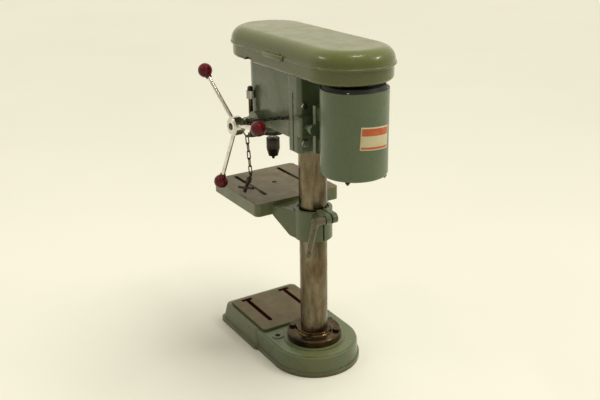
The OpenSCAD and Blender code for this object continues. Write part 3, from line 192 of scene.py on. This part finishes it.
class Finish:
    def __init__(self, name):
        self.material = bpy.data.materials.new(name)
        self.material.use_nodes = True
        self.tree = self.material.node_tree
        self.shader = self.tree.nodes["Principled BSDF"]
        self.coords = self.tree.nodes.new("ShaderNodeTexCoord").outputs["Object"]

    def link(self, a, b):
        self.tree.links.new(a, b)

    def feed(self, socket, value):
        if isinstance(value, bpy.types.NodeSocket):
            self.link(value, socket)
        else:
            socket.default_value = value

    def mapped(self, place=(0, 0, 0), scale=(1, 1, 1), turn=(0, 0, 0)):
        node = self.tree.nodes.new("ShaderNodeMapping")
        node.inputs["Location"].default_value = place
        node.inputs["Rotation"].default_value = turn
        node.inputs["Scale"].default_value = scale
        self.link(self.coords, node.inputs["Vector"])
        return node.outputs[0]

    def noise(self, scale, detail, rough, vector=None, twist=0):
        node = self.tree.nodes.new("ShaderNodeTexNoise")
        node.inputs["Scale"].default_value = scale
        node.inputs["Detail"].default_value = detail
        node.inputs["Roughness"].default_value = rough
        node.inputs["Distortion"].default_value = twist
        self.link(vector or self.coords, node.inputs["Vector"])
        return node.outputs["Fac"]

    def span(self, value, low, high, outLow=0.0, outHigh=1.0):
        node = self.tree.nodes.new("ShaderNodeMapRange")
        node.inputs["From Min"].default_value = low
        node.inputs["From Max"].default_value = high
        node.inputs["To Min"].default_value = outLow
        node.inputs["To Max"].default_value = outHigh
        self.link(value, node.inputs["Value"])
        return node.outputs[0]

    # Noise of one look: its range of values is spread over the range of results
    def layer(self, look, vector=None, **own):
        look = {"twist": 0, "result": (0.0, 1.0), **look, **own}
        noise = self.noise(*look["noise"], vector, look["twist"])
        return self.span(noise, *look["values"], *look["result"])

    def math(self, operation, a, b=0.0):
        node = self.tree.nodes.new("ShaderNodeMath")
        node.operation = operation
        self.feed(node.inputs[0], a)
        self.feed(node.inputs[1], b)
        return node.outputs[0]

    def between(self, factor, a, b):
        node = self.tree.nodes.new("ShaderNodeMix")
        self.feed(node.inputs["Factor"], factor)
        self.feed(node.inputs[2], a)
        self.feed(node.inputs[3], b)
        return node.outputs[0]

    def blend(self, factor, a, b, mode="MIX"):
        node = self.tree.nodes.new("ShaderNodeMix")
        node.data_type = "RGBA"
        node.blend_type = mode
        self.feed(node.inputs["Factor"], factor)
        self.feed(node.inputs["A"], (*a, 1) if isinstance(a, tuple) else a)
        self.feed(node.inputs["B"], (*b, 1) if isinstance(b, tuple) else b)
        return node.outputs["Result"]

    def axis(self, letter):
        node = self.tree.nodes.new("ShaderNodeSeparateXYZ")
        self.link(self.coords, node.inputs[0])
        return node.outputs[letter]

    def inside(self, letter, low, high):
        value = self.axis(letter)
        above = self.math("GREATER_THAN", value, low)
        return self.math("MULTIPLY", above, self.math("LESS_THAN", value, high))

    # Distance from an upright axis
    def reach(self, x, y):
        flat = self.mapped(place=(-x, -y, 0), scale=(1, 1, 0))
        node = self.tree.nodes.new("ShaderNodeVectorMath")
        node.operation = "LENGTH"
        self.link(flat, node.inputs[0])
        return node.outputs["Value"]

    def roundedNormal(self, radius):
        bevel = self.tree.nodes.new("ShaderNodeBevel")
        bevel.samples = bevelSamples
        bevel.inputs["Radius"].default_value = radius
        return bevel.outputs[0]

    # 1 along edges, 0 on flat faces
    def edges(self, radius, low=0.02, high=0.25):
        flat = self.tree.nodes.new("ShaderNodeNewGeometry")
        dot = self.tree.nodes.new("ShaderNodeVectorMath")
        dot.operation = "DOT_PRODUCT"
        self.link(self.roundedNormal(radius), dot.inputs[0])
        self.link(flat.outputs["Normal"], dot.inputs[1])
        return self.span(self.math("SUBTRACT", 1.0, dot.outputs["Value"]), low, high)

    def bump(self, height, depth, strength, radius):
        node = self.tree.nodes.new("ShaderNodeBump")
        node.inputs["Strength"].default_value = strength
        node.inputs["Distance"].default_value = depth
        self.link(height, node.inputs["Height"])
        self.link(self.roundedNormal(radius), node.inputs["Normal"])
        self.link(node.outputs[0], self.shader.inputs["Normal"])

    def paint(self, color, roughness, metallic=0.0):
        self.feed(self.shader.inputs["Base Color"], color)
        self.feed(self.shader.inputs["Roughness"], roughness)
        self.feed(self.shader.inputs["Metallic"], metallic)

    def coat(self, weight, roughness):
        self.shader.inputs["Coat Weight"].default_value = weight
        self.shader.inputs["Coat Roughness"].default_value = roughness


# Pale floor: bright to the camera, darker for the light it throws back

floorLook = {
    "size": 60,
    "z": -0.0005,
    "seen": (0.965, 0.945, 0.83),
    "bounce": (0.38, 0.345, 0.235),
    "tone": {"noise": (0.5, 3, 0.5), "values": midRange, "result": (0.98, 1.02)},
    "roughness": 0.85,
}


def addFloor(look):
    finish = Finish("paleFloor")
    tone = finish.layer(look["tone"])
    color = finish.blend(seenRay(finish.tree), look["bounce"], look["seen"])
    finish.paint(finish.blend(1.0, color, tone, "MULTIPLY"), look["roughness"])
    bpy.ops.mesh.primitive_plane_add(size=look["size"], location=(0, 0, look["z"]))
    floor = bpy.context.object
    floor.name = "floor"
    floor.data.materials.append(finish.material)


# Paint on castings, motor and cover

castShade = {
    "fresh": (0.118, 0.172, 0.082), "faded": (0.178, 0.186, 0.078),
    "grime": (0.110, 0.088, 0.036), "chip": (0.120, 0.072, 0.035),
    "roughness": 0.32, "coat": 0.30, "edge": 0.0022, "chips": 0.60, "dirt": 0.70, "grain": 0.00045,
}
enamelShades = {
    "leverEnamel": {
        "fresh": (0.190, 0.178, 0.095), "faded": (0.245, 0.215, 0.125),
        "grime": (0.095, 0.068, 0.035), "chip": (0.105, 0.062, 0.032),
        "roughness": 0.36, "coat": 0.10, "edge": 0.0022, "chips": 0.52, "dirt": 0.80, "grain": 0.00035,
    },
    "headEnamel": {
        "fresh": (0.112, 0.172, 0.104), "faded": (0.165, 0.192, 0.112),
        "grime": (0.060, 0.066, 0.044), "chip": (0.220, 0.200, 0.145),
        "roughness": 0.28, "coat": 0.40, "edge": 0.0018, "chips": 0.68, "dirt": 0.60, "grain": 0.00035,
    },
    "motorEnamel": {
        "fresh": (0.118, 0.185, 0.098), "faded": (0.150, 0.200, 0.104),
        "grime": (0.085, 0.100, 0.060), "chip": (0.260, 0.250, 0.190),
        "roughness": 0.32, "coat": 0.25, "edge": 0.0015, "chips": 0.74, "dirt": 0.35, "grain": 0.00012,
    },
    "coverEnamel": {
        "fresh": (0.110, 0.128, 0.020), "faded": (0.134, 0.150, 0.029),
        "grime": (0.090, 0.094, 0.028), "chip": (0.150, 0.120, 0.065),
        "roughness": 0.22, "coat": 0.40, "edge": 0.0012, "chips": 0.90, "dirt": 0.35, "grain": 0.00008,
    },
}
# The entries with Past are steps from the shade's own chips or roughness
enamelLook = {
    "fade": {"noise": (5.5, 5, 0.6), "twist": 0.4, "values": (0.36, 0.66)},
    "speckle": {"noise": (140, 3, 0.6), "values": midRange, "result": (0.93, 1.05)},
    "dirt": {"noise": (17, 7, 0.66), "twist": 0.7, "values": (0.54, 0.74)},
    "rimShare": 1.6,
    "torn": {"noise": (48, 6, 0.7)},
    "tornPast": (-0.16, 0.0),
    "spots": {"noise": (31, 8, 0.72)},
    "spotsPast": (0.04, 0.07),
    "gloss": {"noise": (26, 5, 0.6), "values": midRange},
    "glossPast": (-0.06, 0.12),
    "chipRoughness": 0.25,
    "peel": (95, 4, 0.55),
    "chipDepth": 0.6,
    "bump": 0.6,
    "coatRoughness": 0.10,
}


def enamel(finish, shade):
    look = enamelLook
    color = finish.blend(finish.layer(look["fade"]), shade["fresh"], shade["faded"])
    color = finish.blend(1.0, color, finish.layer(look["speckle"]), "MULTIPLY")
    dirt = finish.layer(look["dirt"], result=(0.0, shade["dirt"]))
    color = finish.blend(dirt, color, shade["grime"])
    rim = finish.edges(shade["edge"] * look["rimShare"])
    torn = finish.layer(look["torn"], values=around(shade["chips"], look["tornPast"]))
    spots = finish.layer(look["spots"], values=around(shade["chips"], look["spotsPast"]))
    chips = finish.math("MAXIMUM", finish.math("MULTIPLY", rim, torn), spots)
    color = finish.blend(chips, color, shade["chip"])
    gloss = finish.layer(look["gloss"], result=around(shade["roughness"], look["glossPast"]))
    rough = finish.math("MULTIPLY", chips, look["chipRoughness"])
    return color, finish.math("ADD", gloss, rough), chips


def paintSkin(finish, shade, chips):
    look = enamelLook
    sunk = finish.math("MULTIPLY", chips, look["chipDepth"])
    peel = finish.math("SUBTRACT", finish.noise(*look["peel"]), sunk)
    finish.bump(peel, shade["grain"], look["bump"], shade["edge"])
    finish.coat(shade["coat"], look["coatRoughness"])


def enamelFinish(name):
    shade = enamelShades[name]
    finish = Finish(name)
    color, roughness, chips = enamel(finish, shade)
    finish.paint(color, roughness)
    paintSkin(finish, shade, chips)
    return finish.material


# Planed iron tops of base and table

ironLook = {
    "light": (0.160, 0.116, 0.034),
    "dark": (0.074, 0.052, 0.012),
    "tone": {"noise": (8, 7, 0.66), "twist": 0.5, "values": (0.34, 0.66)},
    "rustColor": (0.155, 0.082, 0.024),
    "rust": {"noise": (24, 8, 0.7), "values": (0.58, 0.76), "result": (0.0, 0.75)},
    "markColor": (0.270, 0.235, 0.160),
    "marks": {"noise": (60, 3, 0.5), "values": (0.60, 0.70), "result": (0.0, 0.4)},
    "markScale": (1, 14, 1),
    "markTurn": (0, 0, 0.5),
    "gloss": {"noise": (30, 6, 0.65), "values": midRange, "result": (0.34, 0.58)},
    "metal": 0.2,
}


def bareIron(finish):
    look = ironLook
    color = finish.blend(finish.layer(look["tone"]), look["dark"], look["light"])
    color = finish.blend(finish.layer(look["rust"]), color, look["rustColor"])
    strokes = finish.mapped(scale=look["markScale"], turn=look["markTurn"])
    color = finish.blend(finish.layer(look["marks"], strokes), color, look["markColor"])
    return color, finish.layer(look["gloss"])


# Places where the paint differs: above topZ, in a pair of slots, at the foot, in the clamp bore (a dark
# ring of grease and painted shade)
castings = {
    "baseCasting": {
        "topZ": 0.0599,
        "slot": {
            "x": 0.060, "half": 0.0165, "y": (-0.2185, -0.0715), "z": (0.0376, 0.0599),
            "color": (0.105, 0.014, 0.010),
        },
        "foot": {
            "z": (0.001, 0.014), "dirt": (0.75, 0.0), "color": (0.105, 0.068, 0.026),
            "ragged": {"noise": (30, 5, 0.6), "values": midRange, "result": (-0.006, 0.006)},
        },
    },
    "tableCasting": {
        "topZ": 0.4249,
        # The table's slot walls are near-black: painted shade in the recesses
        "slot": {
            "x": 0.066, "half": 0.0060, "y": (-0.2400, -0.0680), "z": (0.3900, 0.4248),
            "color": (0.030, 0.022, 0.014),
        },
        "grease": {
            "axis": (0.0, 0.050), "radius": 0.0415, "z": (0.4140, 0.4186),
            "color": (0.022, 0.017, 0.012), "roughness": 0.18,
        },
    },
}


def castingFinish(name):
    cast = castings[name]
    finish = Finish(name)
    color, roughness, chips = enamel(finish, castShade)
    if "foot" in cast:
        foot = cast["foot"]
        height = finish.math("ADD", finish.axis("Z"), finish.layer(foot["ragged"]))
        color = finish.blend(finish.span(height, *foot["z"], *foot["dirt"]), color, foot["color"])
    iron, ironRough = bareIron(finish)
    top = finish.math("GREATER_THAN", finish.axis("Z"), cast["topZ"])
    color = finish.blend(top, color, iron)
    roughness = finish.between(top, roughness, ironRough)
    # Slot walls take the slot's colour: red paint in the base, painted shade in the table
    slot = cast["slot"]
    for side in (-1, 1):
        across = around(side * slot["x"], (-slot["half"], slot["half"]))
        here = finish.math("MULTIPLY", finish.inside("X", *across), finish.inside("Y", *slot["y"]))
        here = finish.math("MULTIPLY", here, finish.inside("Z", *slot["z"]))
        color = finish.blend(here, color, slot["color"])
    if "grease" in cast:
        grease = cast["grease"]
        # A near-black ring round the clamp bore: grease, and painted shade in the bore's chamfer
        near = finish.math("LESS_THAN", finish.reach(*grease["axis"]), grease["radius"])
        ring = finish.math("MULTIPLY", near, finish.inside("Z", *grease["z"]))
        color = finish.blend(ring, color, grease["color"])
        roughness = finish.between(ring, roughness, grease["roughness"])
    finish.paint(color, roughness, finish.math("MULTIPLY", top, ironLook["metal"]))
    paintSkin(finish, castShade, chips)
    return finish.material


# Bare, oiled and plated metal

steelShades = {
    "columnSteel": {
        "dark": (0.078, 0.060, 0.034), "light": (0.235, 0.198, 0.132), "stain": (0.150, 0.082, 0.030),
        "roughness": (0.16, 0.34), "metal": 1.0, "run": (20, 20, 5.0), "stains": 0.52,
    },
    "oiledSteel": {
        "dark": (0.026, 0.018, 0.009), "light": (0.140, 0.090, 0.038), "stain": (0.150, 0.070, 0.020),
        "roughness": (0.10, 0.26), "metal": 0.85, "run": (14, 14, 14), "stains": 0.58,
    },
    "blackSteel": {
        "dark": (0.018, 0.014, 0.011), "light": (0.058, 0.046, 0.036), "stain": (0.085, 0.050, 0.028),
        "roughness": (0.24, 0.44), "metal": 0.75, "run": (22, 22, 22), "stains": 0.58,
    },
    "groundSteel": {
        "dark": (0.330, 0.310, 0.270), "light": (0.560, 0.540, 0.500), "stain": (0.260, 0.190, 0.120),
        "roughness": (0.20, 0.38), "metal": 1.0, "run": (30, 30, 6), "stains": 0.58,
    },
    "wornChrome": {
        "dark": (0.560, 0.530, 0.470), "light": (0.820, 0.800, 0.750), "stain": (0.330, 0.230, 0.140),
        "roughness": (0.08, 0.22), "metal": 1.0, "run": (26, 26, 26), "stains": 0.60,
    },
    "castAlloy": {
        "dark": (0.340, 0.340, 0.335), "light": (0.520, 0.520, 0.510), "stain": (0.180, 0.170, 0.150),
        "roughness": (0.30, 0.46), "metal": 1.0, "run": (18, 18, 60), "stains": 0.58,
    },
    "blackAlloy": {
        "dark": (0.014, 0.015, 0.014), "light": (0.036, 0.037, 0.035), "stain": (0.060, 0.052, 0.040),
        "roughness": (0.38, 0.56), "metal": 0.2, "run": (30, 30, 30), "stains": 0.60,
    },
    "bronzeMetal": {
        "dark": (0.300, 0.190, 0.085), "light": (0.520, 0.370, 0.190), "stain": (0.190, 0.110, 0.050),
        "roughness": (0.26, 0.44), "metal": 1.0, "run": (40, 40, 40), "stains": 0.58,
    },
    "copperWinding": {
        "dark": (0.260, 0.110, 0.045), "light": (0.480, 0.230, 0.100), "stain": (0.120, 0.055, 0.025),
        "roughness": (0.30, 0.48), "metal": 0.9, "run": (12, 12, 90), "stains": 0.58,
    },
}
# stainPast holds steps from the shade's own stains
steelLook = {
    "tone": {"noise": (1.6, 6, 0.58), "twist": 0.1, "values": (0.36, 0.64)},
    "stain": {"noise": (19, 8, 0.72), "twist": 0.4, "result": (0.0, 0.7)},
    "stainPast": (0.0, 0.16),
    "stainRoughness": 0.15,
    "rim": {"noise": (40, 4, 0.6), "values": (0.35, 0.6)},
    "rimWidth": 0.0016,
    "rimShare": 0.6,
    "rimColor": (0.420, 0.370, 0.290),
    "smear": {"noise": (34, 6, 0.62), "values": midRange},
    "grain": (120, 3, 0.5),
    "grainDepth": 0.00006,
    "bump": 0.5,
    "edge": 0.0008,
}


def steelFinish(name):
    shade = steelShades[name]
    look = steelLook
    finish = Finish(name)
    run = finish.mapped(scale=shade["run"])
    color = finish.blend(finish.layer(look["tone"], run), shade["dark"], shade["light"])
    stain = finish.layer(look["stain"], values=around(shade["stains"], look["stainPast"]))
    color = finish.blend(stain, color, shade["stain"])
    # Edges turn pale: partly worn bare metal, partly a painted highlight along them
    rim = finish.math("MULTIPLY", finish.edges(look["rimWidth"]), finish.layer(look["rim"]))
    color = finish.blend(finish.math("MULTIPLY", rim, look["rimShare"]), color, look["rimColor"])
    smear = finish.layer(look["smear"], result=shade["roughness"])
    rough = finish.math("MULTIPLY", stain, look["stainRoughness"])
    finish.paint(color, finish.math("ADD", smear, rough), shade["metal"])
    grain = finish.noise(*look["grain"], run)
    finish.bump(grain, look["grainDepth"], look["bump"], look["edge"])
    return finish.material


# Plastic, rubber and the painted plate

mouldedShades = {
    "ballPlastic": {
        "deep": (0.125, 0.004, 0.010), "bright": (0.190, 0.009, 0.018),
        "roughness": (0.06, 0.13), "grain": 0.00002, "coat": 0.0, "specular": 0.26,
    },
    "blackPlastic": {
        "deep": (0.014, 0.014, 0.014), "bright": (0.034, 0.034, 0.033),
        "roughness": (0.42, 0.58), "grain": 0.00012, "coat": 0.0, "specular": 0.5,
    },
    "beltRubber": {
        "deep": (0.012, 0.012, 0.012), "bright": (0.035, 0.034, 0.032),
        "roughness": (0.66, 0.86), "grain": 0.00022, "coat": 0.0, "specular": 0.5,
    },
    "plateCream": {
        "deep": (0.880, 0.760, 0.450), "bright": (0.950, 0.880, 0.610),
        "roughness": (0.32, 0.46), "grain": 0.00003, "coat": 0.1, "specular": 0.5,
    },
    "plateRed": {
        "deep": (0.700, 0.110, 0.034), "bright": (0.820, 0.200, 0.068),
        "roughness": (0.32, 0.46), "grain": 0.00003, "coat": 0.1, "specular": 0.5,
    },
}
mouldedLook = {
    "swirl": {"noise": (24, 6, 0.6), "twist": 1.2, "values": midRange},
    "dust": {"noise": (70, 5, 0.7), "values": (0.62, 0.80), "result": (0.0, 0.15)},
    "dustColor": (0.22, 0.19, 0.14),
    "gloss": {"noise": (44, 4, 0.6), "values": midRange},
    "grain": (260, 3, 0.5),
    "bump": 0.6,
    "edge": 0.0006,
    "coatRoughness": 0.08,
}


def mouldedFinish(name):
    shade = mouldedShades[name]
    look = mouldedLook
    finish = Finish(name)
    color = finish.blend(finish.layer(look["swirl"]), shade["deep"], shade["bright"])
    color = finish.blend(finish.layer(look["dust"]), color, look["dustColor"])
    finish.paint(color, finish.layer(look["gloss"], result=shade["roughness"]))
    finish.bump(finish.noise(*look["grain"]), shade["grain"], look["bump"], look["edge"])
    finish.coat(shade["coat"], look["coatRoughness"])
    finish.shader.inputs["Specular IOR Level"].default_value = shade["specular"]
    return finish.material


addFloor(floorLook)
finishes = {name: enamelFinish(name) for name in enamelShades}
finishes.update({name: castingFinish(name) for name in castings})
finishes.update({name: steelFinish(name) for name in steelShades})
finishes.update({name: mouldedFinish(name) for name in mouldedShades})

nodeFinish = {
    "baseCasting": ["base_casting"],
    "tableCasting": ["table"],
    "leverEnamel": ["table_clamp_lever"],
    "headEnamel": ["head_casting", "spring_cap", "motor_slide_bars", "motor_plate"],
    "motorEnamel": ["motor_shell"],
    "coverEnamel": ["belt_pan", "belt_lid", "lid_hinge"],
    "columnSteel": ["column"],
    "oiledSteel": [
        "column_flange", "flange_bolts", "table_clamp_bolt", "return_spring", "depth_rod", "chuck_jaw_1",
        "chuck_jaw_2", "chuck_jaw_3", "motor_bolts", "hub_screw", "chain_hanging",
    ],
    "blackSteel": [
        "depth_lock_nut", "depth_collar", "chuck_body", "chuck_sleeve", "chuck_key",
        "chain_anchor", "chain_on_head",
    ],
    "groundSteel": [
        "sleeve_bearings", "pulley_sleeve", "quill", "quill_bearings", "spindle", "feed_shaft",
        "pan_screws", "lid_hinge_pins", "rotor", "motor_shaft", "motor_bearings", "depth_nut",
        "head_clamp_bolts",
    ],
    "wornChrome": ["feed_hub", "feed_spoke_1", "feed_spoke_2", "feed_spoke_3"],
    "castAlloy": ["spindle_pulley", "motor_pulley"],
    "blackAlloy": ["motor_top_bell", "motor_lower_bell"],
    "bronzeMetal": ["feed_bushings"],
    "copperWinding": ["stator"],
    "ballPlastic": ["ball_knob_1", "ball_knob_2", "ball_knob_3", "switch_toggle"],
    "blackPlastic": ["cord_gland", "switch_box"],
    "beltRubber": ["v_belt"],
}
for finishName, members in nodeFinish.items():
    for member in members:
        mesh = nodes[member].data
        mesh.materials.clear()
        mesh.materials.append(finishes[finishName])
missing = sorted(set(nodes) - {m for group in nodeFinish.values() for m in group})
print("finishes set, nodes without one:", missing)


# Modelling helpers

smoothAngle = math.radians(35)
# Slack when a point is compared with a level
slack = 1e-5


def startPiece(name):
    piece = bpy.context.object
    piece.name = name
    piece.data.name = name
    return piece


def activate(piece):
    bpy.ops.object.select_all(action="DESELECT")
    bpy.context.view_layer.objects.active = piece
    piece.select_set(True)


def pick(piece, kind, test):
    bpy.ops.object.mode_set(mode="EDIT")
    bpy.ops.mesh.select_mode(type=kind)
    bpy.ops.mesh.select_all(action="DESELECT")
    bpy.ops.object.mode_set(mode="OBJECT")
    for item in {"EDGE": piece.data.edges, "FACE": piece.data.polygons}[kind]:
        item.select = test(item)
    bpy.ops.object.mode_set(mode="EDIT")


def cutAcross(place, normal):
    bpy.ops.mesh.select_all(action="SELECT")
    bpy.ops.mesh.bisect(plane_co=place, plane_no=normal)


def extrudeDown(depth):
    bpy.ops.mesh.extrude_region_move(TRANSFORM_OT_translate={"value": (0, 0, -depth)})


def applyModifier(piece, kind, **settings):
    modifier = piece.modifiers.new(kind.lower(), kind)
    for key, value in settings.items():
        setattr(modifier, key, value)
    bpy.ops.object.modifier_apply(modifier=modifier.name)


# Move a piece, with its object left at the origin
def settle(piece, place=(0, 0, 0), turn=(0, 0, 0)):
    activate(piece)
    piece.location = place
    piece.rotation_euler = [math.radians(angle) for angle in turn]
    bpy.ops.object.transform_apply(location=True, rotation=True, scale=True)
    piece.select_set(False)


# Raised grip on the right edge of the cover's lid

lidGrip = {
    "middle": (0.1036, 0.0530, 0.8026),
    "size": (0.0096, 0.0860, 0.0110),
    "round": 0.0035,
    "roundSteps": 3,
}


def addLidGrip(grip):
    bpy.ops.mesh.primitive_cube_add(size=1)
    piece = startPiece("lidGrip")
    bpy.ops.object.mode_set(mode="EDIT")
    bpy.ops.transform.resize(value=grip["size"])
    bpy.ops.mesh.bevel(offset=grip["round"], segments=grip["roundSteps"])
    bpy.ops.object.mode_set(mode="OBJECT")
    piece.data.materials.append(finishes["coverEnamel"])
    bpy.ops.object.shade_smooth_by_angle(angle=smoothAngle)
    settle(piece, grip["middle"])
    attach(piece, "lid")


# Blank plate on the motor: cream with two plain red bands, bent round the motor's axis

motorAxis = (0.0, 0.223, 0.0)
motorTag = {
    "radius": 0.0760,
    "middleAngle": 94.0,
    "middleZ": 0.6532,
    "length": 0.085,
    "height": 0.051,
    "tilt": 4.1,
    "border": 0.0030,
    "redTop": 0.0160,
    "redFoot": 0.0045,
    "thickness": 0.0006,
    "round": 0.00018,
    "roundSteps": 2,
    "cuts": 26,
}


def addMotorTag(tag):
    half, tall = tag["length"] / 2, tag["height"] / 2
    edge = tag["border"]
    bpy.ops.mesh.primitive_plane_add(size=1)
    plate = startPiece("motorTag")
    bpy.ops.object.mode_set(mode="EDIT")
    bpy.ops.transform.resize(value=(tag["length"], tag["height"], 1))
    rows = [tall - edge, tall - edge - tag["redTop"], edge + tag["redFoot"] - tall, edge - tall]
    for row in rows:
        cutAcross((0, row, 0), (0, 1, 0))
    columns = [edge - half, half - edge]
    columns += [half * (2 * i / tag["cuts"] - 1) for i in range(1, tag["cuts"])]
    for column in columns:
        cutAcross((column, 0, 0), (1, 0, 0))
    bpy.ops.object.mode_set(mode="OBJECT")
    plate.data.materials.append(finishes["plateCream"])
    plate.data.materials.append(finishes["plateRed"])

    def inBands(face):
        x, y = face.center.x, face.center.y
        return abs(x) < half - edge and (rows[1] < y < rows[0] or rows[3] < y < rows[2])

    pick(plate, "FACE", inBands)
    plate.active_material_index = 1
    bpy.ops.object.material_slot_assign()
    bpy.ops.object.mode_set(mode="OBJECT")
    settle(plate, turn=(0, 0, -tag["tilt"]))
    settle(plate, place=(0, -tag["radius"], 0), turn=(90, 0, 0))
    activate(plate)
    applyModifier(plate, "CAST", cast_type="CYLINDER", factor=1, use_z=False,
                  use_radius_as_size=False, size=tag["radius"])
    applyModifier(plate, "SOLIDIFY", thickness=tag["thickness"], offset=1)
    applyModifier(plate, "BEVEL", width=tag["round"], segments=tag["roundSteps"], limit_method="ANGLE")
    bpy.ops.object.shade_smooth_by_angle(angle=smoothAngle)
    settle(plate, (motorAxis[0], motorAxis[1], tag["middleZ"]), (0, 0, tag["middleAngle"] + 90))
    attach(plate, "motor")


# Through bolts of the motor: a slotted head on the upper rim, a nut and pointed end below

throughBolts = {
    "ring": 0.0690,
    "firstAngle": 43.8,
    "count": 4,
    "headZ": 0.7520,
    "headSides": 24,
    "headRadius": 0.0040,
    "headHeight": 0.0030,
    "headRound": 0.0011,
    "headRoundSteps": 3,
    "slotWidth": 0.0012,
    "slotDepth": 0.0010,
    "nutZ": 0.5560,
    "nutSides": 6,
    "nutRadius": 0.0056,
    "nutFlatShare": 0.87,
    "nutHeight": 0.0026,
    "nutRound": 0.0007,
    "nutRoundSteps": 2,
    "endRadius": 0.0030,
    "endLength": 0.0010,
    "point": 0.0030,
    "pointShare": 0.35,
}
# Least upright part of a normal for a face to count as facing up or down
faceUpLimit = 0.99
faceDownLimit = 0.9


def faceDown(face):
    return face.normal.z < -faceDownLimit


def modelBoltHead(bolt):
    top = bolt["headZ"] + bolt["headHeight"]
    middle = bolt["headZ"] + bolt["headHeight"] / 2
    bpy.ops.mesh.primitive_cylinder_add(vertices=bolt["headSides"], radius=bolt["headRadius"],
                                        depth=bolt["headHeight"], location=(bolt["ring"], 0, middle))
    head = startPiece("motorBoltHead_1")
    settle(head, head.location.copy())
    activate(head)
    pick(head, "EDGE", lambda edge: all(head.data.vertices[v].co.z > top - slack for v in edge.vertices))
    bpy.ops.mesh.bevel(offset=bolt["headRound"], segments=bolt["headRoundSteps"])
    for side in (-1, 1):
        cutAcross((bolt["ring"] + side * bolt["slotWidth"] / 2, 0, 0), (1, 0, 0))

    def inSlot(face):
        level = face.normal.z > faceUpLimit and face.center.z > top - slack
        return level and abs(face.center.x - bolt["ring"]) < bolt["slotWidth"] / 2

    pick(head, "FACE", inSlot)
    extrudeDown(bolt["slotDepth"])
    bpy.ops.object.mode_set(mode="OBJECT")
    return head


def modelBoltEnd(bolt):
    middle = bolt["nutZ"] - bolt["nutHeight"] / 2
    bpy.ops.mesh.primitive_cylinder_add(vertices=bolt["nutSides"], radius=bolt["nutRadius"],
                                        depth=bolt["nutHeight"], location=(bolt["ring"], 0, middle))
    end = startPiece("motorBoltEnd_1")
    settle(end, end.location.copy())
    activate(end)
    pick(end, "FACE", faceDown)
    bpy.ops.mesh.bevel(offset=bolt["nutRound"], segments=bolt["nutRoundSteps"])
    pick(end, "FACE", faceDown)
    flat = bolt["nutRadius"] * bolt["nutFlatShare"] - bolt["nutRound"]
    bpy.ops.mesh.inset(thickness=flat - bolt["endRadius"])
    extrudeDown(bolt["endLength"])
    extrudeDown(bolt["point"])
    bpy.ops.transform.resize(value=(bolt["pointShare"], bolt["pointShare"], 1))
    bpy.ops.object.mode_set(mode="OBJECT")
    return end


def ringCopies(first, bolt, finish):
    pieces = [first]
    for i in range(1, bolt["count"]):
        twin = first.copy()
        twin.data = first.data.copy()
        twin.name = first.name[:-1] + str(i + 1)
        bpy.context.scene.collection.objects.link(twin)
        pieces.append(twin)
    for i, piece in enumerate(pieces):
        piece.data.materials.append(finishes[finish])
        settle(piece, motorAxis, (0, 0, bolt["firstAngle"] + i * 360 / bolt["count"]))
        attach(piece, "motor")


addLidGrip(lidGrip)
addMotorTag(motorTag)
ringCopies(modelBoltHead(throughBolts), throughBolts, "groundSteel")
ringCopies(modelBoltEnd(throughBolts), throughBolts, "blackSteel")
print("lid grip, motor plate and bolt ends modelled")
